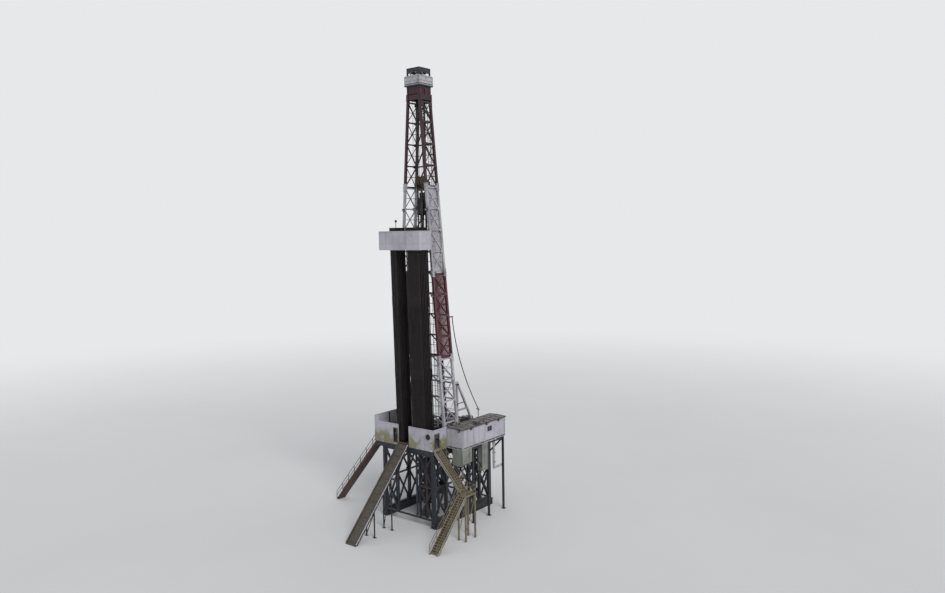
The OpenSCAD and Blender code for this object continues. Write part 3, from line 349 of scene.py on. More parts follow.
for part in frame["record"]["subparts"]:
    cad_node = nodes[part["node"]]
    cad_node.data.materials.clear()
    cad_node.data.materials.append(FINISHES[part["material_slot"]])
nodes["well_posts"].data.materials[0] = POST_PAINT
nodes["top_frame"].data.materials[0] = FINISHES["navy_steel"]
# The back of the third section takes the white darkened as painted shade.
nodes["mast_3_back"].data.materials[0] = SHADED_PAINT

# Tools for modelling a piece as by hand


def deselect():
    bpy.ops.object.select_all(action="DESELECT")


def take(obj):
    """Selects one object alone and makes it the active one."""
    deselect()
    obj.select_set(True)
    bpy.context.view_layer.objects.active = obj


def bevel(obj, width):
    take(obj)
    modifier = obj.modifiers.new("bevel", "BEVEL")
    modifier.width = width
    modifier.segments = 1
    modifier.limit_method = "ANGLE"
    bpy.ops.object.modifier_apply(modifier=modifier.name)
    return obj


def block(start, end, edge=0.008):
    """A box between two opposite corners, with its edges broken."""
    low, high = Vector(map(min, start, end)), Vector(map(max, start, end))
    deselect()
    bpy.ops.mesh.primitive_cube_add(size=1, location=(low + high) / 2)
    obj = bpy.context.object
    obj.scale = high - low
    bpy.ops.object.transform_apply()
    return bevel(obj, edge) if edge else obj


def choose_faces(obj, test):
    """In edit mode, selects the faces that the test picks by their centre and normal."""
    mesh = bmesh.from_edit_mesh(obj.data)
    bpy.ops.mesh.select_all(action="DESELECT")
    bpy.ops.mesh.select_mode(type="FACE")
    for face in mesh.faces:
        face.select = bool(test(face.calc_center_median(), face.normal))
    mesh.select_flush_mode()
    bmesh.update_edit_mesh(obj.data)


def blocks(boxes, edge=0.004):
    return [block(low, high, edge) for low, high in boxes]


def upright(x, y, dx, dy, low, high, edge=0.004):
    """A box centred on an upright line, dx and dy to each side of it."""
    return block((x - dx, y - dy, low), (x + dx, y + dy, high), edge)


def panelled(low, high, facing, rim, sunk, edge=0.006):
    """A box whose faces that look along facing have a raised rim round a sunk panel."""
    obj = block(low, high, 0)
    facing = Vector(facing)
    bpy.ops.object.mode_set(mode="EDIT")
    choose_faces(obj, lambda centre, normal: normal.dot(facing) > 0.9)
    bpy.ops.mesh.inset(thickness=rim, use_individual=True)
    bpy.ops.transform.translate(value=-facing * sunk)
    bpy.ops.object.mode_set(mode="OBJECT")
    return bevel(obj, edge) if edge else obj


def bar(start, end, width, depth=None, edge=0.006):
    """A straight bar from one point to another; its width lies level where it can."""
    start, end = Vector(start), Vector(end)
    along = end - start
    obj = upright(0, 0, width / 2, (depth or width) / 2, 0, along.length, edge)
    along.normalize()
    side = Vector((0, 0, 1)).cross(along)
    side = side.normalized() if side.length > 1e-4 else Vector((1, 0, 0))
    turn = Matrix((side, along.cross(side), along)).transposed().to_4x4()
    obj.data.transform(shift(*start) @ turn)
    return obj


def bars(ends, width, depth=None, edge=0.006):
    return [bar(start, end, width, depth, edge) for start, end in ends]


def turned(profile, sides=16, axis="Z", place=(0, 0, 0)):
    """A round piece: a disc at the first radius and height, extruded up through the others."""
    deselect()
    radius, height = profile[0]
    bpy.ops.mesh.primitive_circle_add(vertices=sides, radius=radius, location=(0, 0, height),
                                      fill_type="NGON")
    obj = bpy.context.object
    bpy.ops.object.transform_apply()
    bpy.ops.object.mode_set(mode="EDIT")
    bpy.ops.mesh.select_all(action="SELECT")
    for next_radius, next_height in profile[1:]:
        bpy.ops.mesh.extrude_region_move(TRANSFORM_OT_translate={"value": (0, 0, next_height - height)})
        if abs(next_radius - radius) > 1e-6:
            growth = next_radius / radius
            bpy.ops.transform.resize(value=(growth, growth, 1), center_override=(0, 0, next_height))
        radius, height = next_radius, next_height
    bpy.ops.mesh.select_all(action="SELECT")
    bpy.ops.mesh.normals_make_consistent(inside=False)
    bpy.ops.object.mode_set(mode="OBJECT")
    turn = {"X": Matrix.Rotation(math.radians(90), 4, "Y"), "Y": Matrix.Rotation(math.radians(-90), 4, "X"),
            "Z": Matrix.Identity(4)}[axis]
    obj.data.transform(shift(*place) @ turn)
    return obj


BOLT_R, BOLT_H = 0.013, 0.012


def rod(radius, length, sides, axis="Z", place=(0, 0, 0)):
    return turned([(radius, 0), (radius, length)], sides, axis, place)


def bolt(place, axis="X"):
    return turned([(BOLT_R, 0), (BOLT_R, 0.009), (0.009, BOLT_H)], 6, axis, place)


def wire(name, points, radius, sides):
    """A curve with a round section, in straight runs between points."""
    data = bpy.data.curves.new(name, "CURVE")
    data.dimensions = "3D"
    data.bevel_depth = radius
    data.bevel_resolution = sides
    data.use_fill_caps = True
    spline = data.splines.new("POLY")
    spline.points.add(len(points) - 1)
    for point, place in zip(spline.points, points):
        point.co = (*place, 1)
    obj = bpy.data.objects.new(name, data)
    scene.collection.objects.link(obj)
    return obj


def tube(points, radius, sides=2, closed=False):
    """A round tube along straight runs between points, as a mesh."""
    obj = wire("tube", points, radius, sides)
    obj.data.use_fill_caps = not closed
    obj.data.splines[0].use_cyclic_u = closed
    take(obj)
    bpy.ops.object.convert(target="MESH")
    return bpy.context.object


def copies(master, places):
    """Copies of a piece, each with its own mesh; the master goes when all are made."""
    made = []
    for place in places:
        copy = master.copy()
        copy.data = master.data.copy()
        copy.data.transform(place)
        scene.collection.objects.link(copy)
        made.append(copy)
    bpy.data.objects.remove(master)
    return made


def mend_normals(obj):
    take(obj)
    bpy.ops.object.mode_set(mode="EDIT")
    bpy.ops.mesh.select_all(action="SELECT")
    bpy.ops.mesh.normals_make_consistent(inside=False)
    bpy.ops.object.mode_set(mode="OBJECT")


def joined(objs):
    """Joins several pieces into the first of them."""
    take(objs[0])
    for other in objs[1:]:
        other.select_set(True)
    bpy.ops.object.join()
    return bpy.context.view_layer.objects.active


def shift(x, y, z):
    return Matrix.Translation(Vector((x, y, z)))


def leaning(x_slope, y_slope=0):
    """Lets an upright piece lean, with its level faces still level."""
    lean = Matrix.Identity(4)
    lean[0][2], lean[1][2] = x_slope, y_slope
    return lean


def outside(s, x, thick, y, z):
    """The place of a cap of that thickness that stands on the outer face x of either side."""
    return (s * x - (thick if s < 0 else 0), y, z)


def rising(first, step, count):
    return [first + step * k for k in range(count)]


def arc(first, stop, step, across, up=None):
    """Points on an arc or half an oval, from one angle in degrees towards another."""
    angles = [math.radians(v) for v in range(first, stop, step)]
    return [(across * math.cos(a), (up or across) * math.sin(a)) for a in angles]


def circle(radius, count, axis, place=(0, 0, 0)):
    """Points spread evenly round an axis."""
    x, y, z = place
    points = []
    for k in range(count):
        angle = 2 * math.pi * k / count
        c, s = radius * math.cos(angle), radius * math.sin(angle)
        points.append({"X": (x, y + c, z + s), "Y": (x + c, y, z + s), "Z": (x + c, y + s, z)}[axis])
    return points


def ring(radius, thick, axis, place, count=28):
    """A round bar bent into a ring about an axis."""
    obj = tube(circle(radius, count, axis), thick, 2, closed=True)
    obj.data.transform(shift(*place))
    return obj


def bolt_circle(radius, count, axis, place, size=1.0):
    wide, half = BOLT_R * size, BOLT_H * size
    return [turned([(wide, -half), (wide, half)], 6, axis, spot)
            for spot in circle(radius, count, axis, place)]


def piece(name, objs, finish, body="rig", smooth=35):
    """Joins what belongs together, gives it its finish and lets it ride on its body."""
    obj = joined(objs) if isinstance(objs, list) else objs
    obj.name = obj.data.name = name
    obj.data.materials.clear()
    obj.data.materials.append(finish if isinstance(finish, bpy.types.Material) else FINISHES[finish])
    take(obj)
    if smooth:
        bpy.ops.object.shade_smooth_by_angle(angle=math.radians(smooth))
    if body:
        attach(obj, body)
    return obj


# Service line: a rubber hose that hangs from the mast's right leg to the rear of the floor

LINE_ROUTE = [
    (1.500, 1.120, 13.520), (1.495, 1.190, 13.060), (1.490, 1.280, 12.600), (1.480, 1.390, 12.150),
    (1.475, 1.510, 11.700), (1.470, 1.650, 11.250), (1.460, 1.800, 10.810), (1.455, 1.970, 10.380),
    (1.450, 2.150, 9.950), (1.445, 2.340, 9.530), (1.440, 2.540, 9.110), (1.430, 2.760, 8.690),
    (1.425, 2.980, 8.290), (1.420, 3.220, 7.880), (1.410, 3.460, 7.490), (1.405, 3.710, 7.100),
    (1.400, 3.970, 6.710)]


def service_hose():
    hose = wire("service_hose", LINE_ROUTE, 0.03, 4)
    hose.data.materials.append(FINISHES["hose_rubber"])
    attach(hose, "rig")
    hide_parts("service_line")


service_hose()

# Standing pipe: each joint of pipe with its thick ends, in rows that lean against the board

PIPE_R, PIPE_STEP, ROW_STEP, ROWS = 0.042, 0.08, 0.14, 7


def standing_pipe(name, node):
    low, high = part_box(node)
    foot, top = low.z + 0.005, high.z
    length = top - foot - 0.02
    third = length / 3
    profile = [(0.030, 0), (0.040, 0.02)]
    for k in range(3):
        base = k * third
        end = base + third
        profile += [(0.040, base + 0.22), (0.031, base + 0.30), (0.031, end - 0.42), (0.041, end - 0.34),
                    (0.041, end - 0.01)]
    master = turned(profile, 10)
    count = round((high.x - low.x - 2 * PIPE_R) / PIPE_STEP) + 1
    lean = (high.y - low.y - 2 * PIPE_R - (ROWS - 1) * ROW_STEP) / (top - foot)
    places = []
    for row in range(ROWS):
        for k in range(count):
            x = low.x + PIPE_R + PIPE_STEP * k + chance.uniform(-0.004, 0.004)
            y = high.y - PIPE_R - (ROWS - 1 - row) * ROW_STEP + chance.uniform(-0.008, 0.008)
            back = -lean + chance.uniform(-0.0006, 0.0006)
            places.append(shift(x, y, foot) @ leaning(chance.uniform(-0.0003, 0.0003), back))
    made = piece(name, copies(master, places), "drill_pipe")
    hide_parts(node)


standing_pipe("standing_pipe_left", "stands_left")
standing_pipe("standing_pipe_right", "stands_right")

# Drilling line: a loop over each crown sheave and under each sheave of the block

SHEAVE_X = [-0.16, -0.08, 0.0, 0.08, 0.16]
CROWN_Z = sum(c.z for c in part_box("crown_sheaves")) / 2
BLOCK_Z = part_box("drilling_lines")[0].z
LINE_R = 0.326


def drilling_line():
    loops = []
    turn = arc(0, 181, 15, LINE_R)
    for x in SHEAVE_X:
        over = [(x, y, CROWN_Z + z) for y, z in turn]
        under = [(x, -y, BLOCK_Z - z) for y, z in turn]
        loops.append(tube(over + under, 0.010, 1, closed=True))
    line = piece("drilling_line", loops, "wire_rope", body=None)
    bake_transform(line)
    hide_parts("drilling_lines")


drilling_line()

# Mast fittings: lighter bracing, joint plates, collars, ladder, cable runs, lines and lamps

SECTION_PAINT = {1: "mast_white", 2: "mast_faded_red", 3: "mast_white", 4: "mast_red"}
SECTION_H = MAST_H / SECTIONS
SIDE_SLOPE = (FOOT_X - TOP_X) / MAST_H
BACK_SLOPE = (FOOT_Y - TOP_Y) / MAST_H
LADDER_X = 0.22


def level(i, k):
    """Height above the floor at which bay k of section i begins."""
    return ((i - 1) + k / BAYS) * SECTION_H


def on_leg(s, y, h):
    """The point at height h in the side face s, at depth y."""
    return (s * leg_x(h), y, FLOOR + h)


def mast_bracing():
    """The thin bars that cross each bay's main brace, and the struts at mid height."""
    thin = 0.042
    strut = thin * 0.8
    for i in range(1, SECTIONS + 1):
        left_bars, right_bars = [], []
        for k in range(BAYS):
            low = max(level(i, k), 0.32)
            high = min(level(i, k + 1), MAST_H - 0.12)
            mid = (low + high) / 2
            start, end = (leg_y(low), FRONT_Y) if k % 2 == 0 else (FRONT_Y, leg_y(high))
            for s, group in ((-1, left_bars), (1, right_bars)):
                group.append(bar(on_leg(s, start, low), on_leg(s, end, high), thin))
                group.append(bar(on_leg(s, FRONT_Y, mid), on_leg(s, leg_y(mid), mid), strut))
            left_bars.append(bar(on_leg(-1, leg_y(mid), mid), on_leg(1, leg_y(mid), mid), strut))
        paint = SECTION_PAINT[i]
        piece(f"mast_{i}_right_light_bracing", right_bars, paint, smooth=0)
        # In the third section the left side and the rear struts take the white darkened as painted shade; the
        # right side keeps its white.
        piece(f"mast_{i}_light_bracing", left_bars, SHADED_PAINT if i == 3 else paint, smooth=0)


def mast_gussets():
    """Plates where braces meet the legs, bolted on the outside of each side face."""
    spots = ((0.04, -0.1), (0.04, 0), (0.04, 0.1), (0.15, -0.07), (0.15, 0.07), (0.27, 0))
    for i in range(1, SECTIONS + 1):
        made = []
        heights = [min(max(level(i, k), 0.42), MAST_H - 0.25) for k in range(0 if i == 1 else 1, BAYS + 1)]
        for rear in (False, True):
            plate = block((0, 0, -0.15), (0.014, 0.34, 0.15), 0)
            bpy.ops.object.mode_set(mode="EDIT")
            choose_faces(plate, lambda centre, normal: normal.y > 0.9)
            bpy.ops.transform.resize(value=(1, 1, 0.38), center_override=(0, 0.34, 0))
            bpy.ops.object.mode_set(mode="OBJECT")
            plate = joined([bevel(plate, 0.004)] + [bolt((0.013, y, z)) for y, z in spots])
            places = []
            for h in heights:
                for s in SIDES:
                    y = leg_y(h) + 0.05 if rear else FRONT_Y - 0.05
                    place = shift(s * (leg_x(h) + LEG_W / 2 + 0.001), y, FLOOR + h)
                    turn = Matrix.Diagonal((s, -1 if rear else 1, 1, 1))
                    places.append(place @ leaning(-s * SIDE_SLOPE) @ turn)
            made += copies(plate, places)
        mend_normals(piece(f"mast_{i}_joint_plates", made, SECTION_PAINT[i], smooth=0))


def mast_collars():
    """Pinned collars where one section of the mast stands on the next."""
    half = LEG_W / 2 + 0.022
    rim = half + 0.02
    parts = [upright(0, 0, half, half, -0.24, 0.24, 0.012)]
    parts += [upright(0, 0, rim, rim, z, z + 0.04, 0.006) for z in (-0.24, -0.02, 0.20)]
    parts += [rod(0.03, 2 * half + 0.07, 12, "X", (-half - 0.035, 0, z)) for z in (-0.11, 0.11)]
    places = []
    for h in [i * SECTION_H for i in range(1, SECTIONS)]:
        for s in SIDES:
            for y, slope in ((FRONT_Y, 0), (leg_y(h), -BACK_SLOPE)):
                places.append(shift(*on_leg(s, y, h)) @ leaning(-s * SIDE_SLOPE, slope))
    piece("mast_collars", copies(joined(parts), places), "mast_white", smooth=30)


def mast_ladder():
    """A caged ladder up the back of the mast to the crown platform."""
    low, high, half = 0.35, MAST_H + 0.8, 0.13
    rung_step, cage_low, hoop_step = 0.15, 1.5, 0.55
    stand_off = LEG_W / 2 + 0.09

    def at(x, h, out=stand_off):
        return (LADDER_X + x, leg_y(h) + out, FLOOR + h)

    made = [bar(at(s * half, low), at(s * half, high), 0.022, 0.04) for s in SIDES]
    first = low + 0.1
    rungs = [shift(*at(-half, first + rung_step * k)) for k in range(int((high - first) / rung_step))]
    made += copies(rod(0.009, 2 * half, 6, "X"), rungs)
    for i in range(1, SECTIONS + 1):
        for k in range(1, BAYS + 1):
            h = min(level(i, k), MAST_H - 0.1)
            made += [bar(at(s * half, h, 0.02), at(s * half, h), 0.03) for s in SIDES]
    piece("mast_ladder", made, "machine_dark", smooth=30)
    hoop = arc(-10, 191, 20, 0.19, 0.30)
    steps = int((high - 1.6) / hoop_step)
    top = cage_low + hoop_step * steps
    made = copies(tube([(x, y, 0) for x, y in hoop], 0.008, 0),
                  [shift(*at(0, cage_low + hoop_step * k)) for k in range(steps + 1)])
    made += [bar(at(x, cage_low, stand_off + y), at(x, top, stand_off + y), 0.014, 0.006, 0)
             for x, y in hoop[1:-1:2]]
    piece("ladder_cage", made, "machine_dark", smooth=30)


def mast_cables():
    """Power and control cables clipped along the guide rails, and a tray up the right side."""
    low, high, clip_step = 1.3, MAST_H - 0.2, 0.7
    heights = [FLOOR + low + (high - low) * t / 8 for t in range(9)]
    runs = []
    for s in SIDES:
        for x, y in ((0.362, -0.012), (0.362, 0.016), (0.386, 0.002), (0.386, 0.030), (0.362, 0.044)):
            runs.append(tube([(s * x + chance.uniform(-0.002, 0.002), y, z) for z in heights], 0.012, 1))
    piece("rail_cables", runs, "hose_rubber")
    places = []
    for k in range(int((high - low) / clip_step)):
        for s in (0, 1):
            turn = Matrix.Rotation(math.pi * s, 4, "Z")
            places.append(shift(0, 0.02 * s, FLOOR + low + 0.4 + clip_step * k) @ turn)
    clip = block((0.345, -0.035, -0.03), (0.405, 0.065, 0.03), 0.006)
    piece("cable_clips", copies(clip, places), "machine_dark", smooth=0)
    tray_low, tray_high = 0.5, 17.2

    def at(h, y, inset=0.05):
        return (leg_x(h) - LEG_W / 2 - inset, y, FLOOR + h)

    tray = [bar(at(tray_low, y), at(tray_high, y), 0.02, 0.06) for y in (-0.28, -0.04)]
    rung = block((-0.012, -0.28, -0.015), (0.012, -0.04, 0.015), 0)
    tray += copies(rung, [shift(*at(tray_low + 0.2 + 0.4 * k, 0, 0.06)) for k in range(42)])
    piece("cable_tray", tray, "rail_white", smooth=0)
    bundle = [tube([at(tray_low, y), at(9, y + chance.uniform(-0.004, 0.004)), at(tray_high, y)], 0.014, 1)
              for y in (-0.25, -0.215, -0.18, -0.145, -0.11, -0.075)]
    piece("tray_cables", bundle, "hose_rubber")


def standpipes():
    """Two high-pressure pipes up the left side, their clamps and their goosenecks."""
    bend_r = 0.22
    pipes = []
    for y, top in ((0.26, 13.2), (0.46, 11.8)):
        def at(h):
            return (-(leg_x(h) - LEG_W / 2 - 0.10), y, FLOOR + h)
        x, _, z = at(top)
        bend = [(x + bend_r - across, y, z + up) for across, up in arc(0, 171, 17, bend_r)]
        pipes.append(tube([at(0.1), at(4), at(8)] + bend, 0.055, 3))
        pipes += [turned([(0.09, -0.03), (0.09, 0.03)], 14, "Z", at(h)) for h in (0.14, 4.4, 8.8, top - 0.2)]
        for k in range(1, 9):
            x, _, z = at(1.4 * k)
            pipes.append(block((x - 0.09, y - 0.07, z - 0.04), (x + 0.06, y + 0.07, z + 0.04), 0.01))
    piece("standpipes", pipes, "machine_dark")


def floodlight(place, facing, housings, lenses):
    """One lamp: a ribbed housing with a hooded, glazed front, on a stirrup."""
    facing = Vector(facing).normalized()
    made = [panelled((-0.09, -0.05, -0.06), (0.09, 0.05, 0.06), (0, -1, 0), 0.012, 0.012, 0.004)]
    made += [block((-0.09 + 0.03 * k, 0.05, -0.05), (-0.08 + 0.03 * k, 0.075, 0.05), 0) for k in range(7)]
    made += [bar((s * 0.1, 0, -0.11), (s * 0.1, 0, 0.01), 0.012, 0.03) for s in SIDES]
    made.append(bar((-0.1, 0, -0.11), (0.1, 0, -0.11), 0.03, 0.012))
    lens = block((-0.078, -0.042, -0.048), (0.078, -0.038, 0.048), 0.001)
    side = facing.cross(Vector((0, 0, 1))).normalized()
    turn = Matrix((side, -facing, side.cross(facing))).transposed().to_4x4()
    for obj in [*made, lens]:
        obj.data.transform(shift(*place) @ turn)
    housings.extend(made)
    lenses.append(lens)


def lights():
    housings, lenses = [], []
    rows = [(h, FRONT_Y, -1, 0.16, 0.3, -0.9) for h in (4.2, 9.8, 15.4)]
    rows.append((2.4, leg_y(2.4), 1, 0.18, 0.2, -0.8))
    for h, y, out, reach, spread, drop in rows:
        for s in SIDES:
            x, z = s * (leg_x(h) - 0.02), FLOOR + h
            floodlight((x, y + out * reach, z), (s * spread, out, drop), housings, lenses)
            housings.append(bar((x, y + out * 0.05, z - 0.12), (x, y + out * 0.2, z - 0.12), 0.03))
    piece("floodlights", housings, "machine_dark")
    piece("floodlight_lenses", lenses, LENS, smooth=0)


def side_screens():
    """Upright slats that close the sides of the faded section and the right side of the white one."""
    last_slat, last_rail = 12, 8
    for i, sides in ((2, SIDES), (3, (1,))):
        low, high = (i - 1) * SECTION_H + 0.12, i * SECTION_H - 0.12
        slats = []
        for s in sides:
            def at(h, t):
                first, last = FRONT_Y + LEG_W / 2 + 0.045, leg_y(h) - LEG_W / 2 - 0.045
                return (s * (leg_x(h) - 0.05), first + (last - first) * t, FLOOR + h)
            slats += [bar(at(low, k / last_slat), at(high, k / last_slat), 0.074, 0.014, 0.003)
                      for k in range(last_slat + 1)]
            for k in range(last_rail + 1):
                h = low + (high - low) * k / last_rail
                x = s * (leg_x(h) - 0.066)
                slats.append(bar((x, FRONT_Y, FLOOR + h), (x, leg_y(h), FLOOR + h), 0.03, 0.05, 0.003))
        piece(f"mast_{i}_side_screens", slats, SECTION_PAINT[i], smooth=0)


def hoist_lines():
    """Winch lines from the crown to the two small winches on the floor, and the fast line to the drum."""
    winch_x, winch_y = 1.35, 0.05
    runs, winches = [], []
    for s in SIDES:
        runs.append(tube([(s * 0.30, -0.42, MAST_TOP + 0.30), (s * 0.42, -0.40, FLOOR + 14),
                          (s * winch_x, winch_y, FLOOR + 0.25)], 0.007, 1))
        runs.append(tube([(s * 0.24, -0.42, MAST_TOP + 0.30), (s * 0.27, -0.42, FLOOR + 1.9)], 0.007, 1))
        runs.append(turned([(0.035, 0), (0.05, 0.06), (0.05, 0.2), (0.02, 0.26)], 10, "Z",
                           (s * 0.27, -0.42, FLOOR + 1.66)))
    low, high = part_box("drawworks")
    drum_y, drum_z = (low.y + high.y) / 2, FLOOR + 0.56
    runs.append(tube([(0.235, 0.33, MAST_TOP + 0.42), (0.22, 0.345, MAST_TOP - 0.35),
                      (0.10, drum_y - 0.285, drum_z)], 0.010, 1))
    piece("floor_lines", runs, "wire_rope")
    spool = [(0.13, 0), (0.13, 0.02), (0.075, 0.03), (0.075, 0.22), (0.13, 0.23), (0.13, 0.25)]
    for x in (-winch_x, winch_x):
        winches.append(upright(x, winch_y, 0.2, 0.17, FLOOR, FLOOR + 0.05, 0.01))
        winches.append(turned(spool, 20, "X", (x - 0.125, winch_y, FLOOR + 0.2)))
        winches += [block((x + t, -0.06, FLOOR + 0.04), (x + t + 0.03, 0.16, FLOOR + 0.26), 0.015)
                    for t in (-0.16, 0.13)]
        winches.append(turned([(0.07, 0), (0.07, 0.14), (0.05, 0.16)], 14, "X",
                              (x + 0.16, winch_y, FLOOR + 0.2)))
    piece("tugger_winches", winches, "block_olive")


RACK_PAINT = wall_paint("racking board wall paint", False)
nodes["racking_wall"].data.materials[0] = RACK_PAINT
mast_bracing()
mast_gussets()
mast_collars()
mast_ladder()
mast_cables()
standpipes()
lights()
side_screens()
hoist_lines()

# Crown: guard plates, sheave guards, toe boards, the raised frame's braces and the boxes on the platform

CROWN_LOW, CROWN_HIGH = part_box("crown_beams")
PLAT_LOW, PLAT_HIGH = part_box("crown_platform")
FRAME_LOW, FRAME_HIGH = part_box("top_frame")


def crown_guards():
    plates = []
    low, high = CROWN_LOW.z + 0.36, CROWN_HIGH.z - 0.11
    for s in SIDES:
        side, middle = s * 0.545, s * 0.588
        for a, b in ((CROWN_LOW.y + 0.16, -0.16), (0.16, CROWN_HIGH.y - 0.16)):
            plates.append(panelled((side - 0.008, a, low), (side + 0.008, b, high), (s, 0, 0), 0.03,
                                   0.004, 0.003))
        plates.append(panelled((middle - 0.006, -0.165, low), (middle + 0.006, 0.165, high), (s, 0, 0),
                               0.03, 0.003, 0.002))
        plates.append(turned([(0.09, 0), (0.09, 0.006), (0.06, 0.012)], 16, "X",
                             outside(s, 0.596, 0.012, 0, CROWN_Z)))
        y = CROWN_LOW.y + 0.085 if s < 0 else CROWN_HIGH.y - 0.085
        plates += [panelled((a + 0.005, y - 0.008, low), (a + 0.295, y + 0.008, high), (0, s, 0),
                            0.03, 0.004, 0.003)
                   for a in (-0.45, -0.15, 0.15)]
    piece("crown_guard_plates", plates, "mast_red", smooth=0)
    reach = 0.375
    guards = [tube([(x, y, CROWN_Z + z) for y, z in arc(20, 161, 14, reach)], 0.014, 1)
              for x in (-0.23, 0.23)]
    guards += [bar((-0.24, y, CROWN_Z + z), (0.24, y, CROWN_Z + z), 0.02) for y, z in arc(20, 161, 28, reach)]
    piece("sheave_guards", guards, "rail_white")


def crown_deck():
    """Toe boards and grating bars on the platform."""
    top = PLAT_HIGH.z
    boards = []
    for s in SIDES:
        y = PLAT_LOW.y + 0.014 if s < 0 else PLAT_HIGH.y - 0.014
        boards.append(block((PLAT_LOW.x + 0.03, y - 0.006, top),
                            (PLAT_HIGH.x - 0.03, y + 0.006, top + 0.09), 0.003))
        x = PLAT_LOW.x + 0.014 if s < 0 else PLAT_HIGH.x - 0.014
        boards.append(block((x - 0.006, PLAT_LOW.y + 0.03, top),
                            (x + 0.006, PLAT_HIGH.y - 0.03, top + 0.09), 0.003))
    for x in [PLAT_LOW.x + 0.1 + 0.09 * k for k in range(14)]:
        boards += [block((x, a, top), (x + 0.02, b, top + 0.012), 0)
                   for a, b in ((PLAT_LOW.y + 0.03, -0.39), (0.39, PLAT_HIGH.y - 0.03))]
    piece("crown_toe_boards", boards, "platform_teal", smooth=0)


def raised_frame():
    middle = (FRAME_LOW.z + FRAME_HIGH.z) / 2
    braces = []
    for s in SIDES:
        braces.append(bar((s * 0.44, FRAME_LOW.y + 0.05, FRAME_HIGH.z - 0.15),
                          (s * 0.2, FRAME_LOW.y + 0.05, FRAME_HIGH.z - 0.45), 0.05))
        for a, b in ((FRAME_LOW.y + 0.06, FRAME_HIGH.y - 0.06), (FRAME_HIGH.y - 0.06, FRAME_LOW.y + 0.06)):
            braces.append(bar((s * 0.50, a, FRAME_LOW.z + 0.12), (s * 0.50, b, FRAME_HIGH.z - 0.2), 0.05))
    braces += [bar((-0.5, y, middle), (0.5, y, middle), 0.06)
               for y in (FRAME_LOW.y + 0.045, FRAME_HIGH.y - 0.045)]
    piece("top_frame_braces", braces, "rail_white", smooth=0)
    band = []
    low, high = 29.50, 29.78
    for s in SIDES:
        y = FRAME_LOW.y + 0.012 if s < 0 else FRAME_HIGH.y - 0.012
        band.append(panelled((FRAME_LOW.x + 0.01, y - 0.008, low), (FRAME_HIGH.x - 0.01, y + 0.008, high),
                             (0, s, 0), 0.03, 0.004, 0.002))
        x = s * (FRAME_HIGH.x - 0.012)
        band.append(panelled((x - 0.008, FRAME_LOW.y + 0.02, low), (x + 0.008, FRAME_HIGH.y - 0.02, high),
                             (s, 0, 0), 0.03, 0.004, 0.002))
    piece("top_frame_band", band, "navy_steel", smooth=0)


def crown_boxes():
    """Boxes and a drum on the platform, and the plates on its rails."""
    top = PLAT_HIGH.z
    made = [panelled((0.36, -0.60, top), (0.50, -0.42, top + 0.34), (1, 0, 0), 0.02, 0.01, 0.005),
            panelled((-0.52, -0.56, top), (-0.34, -0.42, top + 0.26), (0, -1, 0), 0.02, 0.01, 0.005)]
    for a, b in ((-0.62, -0.04), (0.02, 0.62)):
        made.append(panelled((a, PLAT_LOW.y + 0.03, top + 0.10),
                             (b, PLAT_LOW.y + 0.042, top + 0.60), (0, -1, 0),
                             0.02, 0.004, 0.002))
    for a, b in ((PLAT_LOW.y + 0.08, -0.12), (-0.08, PLAT_HIGH.y - 0.05)):
        made.append(panelled((PLAT_HIGH.x - 0.042, a, top + 0.10),
                             (PLAT_HIGH.x - 0.03, b, top + 0.60), (1, 0, 0),
                             0.02, 0.004, 0.002))
    made.append(turned([(0.07, 0), (0.07, 0.30), (0.05, 0.34)], 16, "Z", (0.1, -0.55, top)))
    piece("crown_boxes", made, "rail_white")


crown_guards()
crown_deck()
raised_frame()
crown_boxes()

# Racking board: ribs on its wall, finger latches, walkway grating with its rails, and the knees below


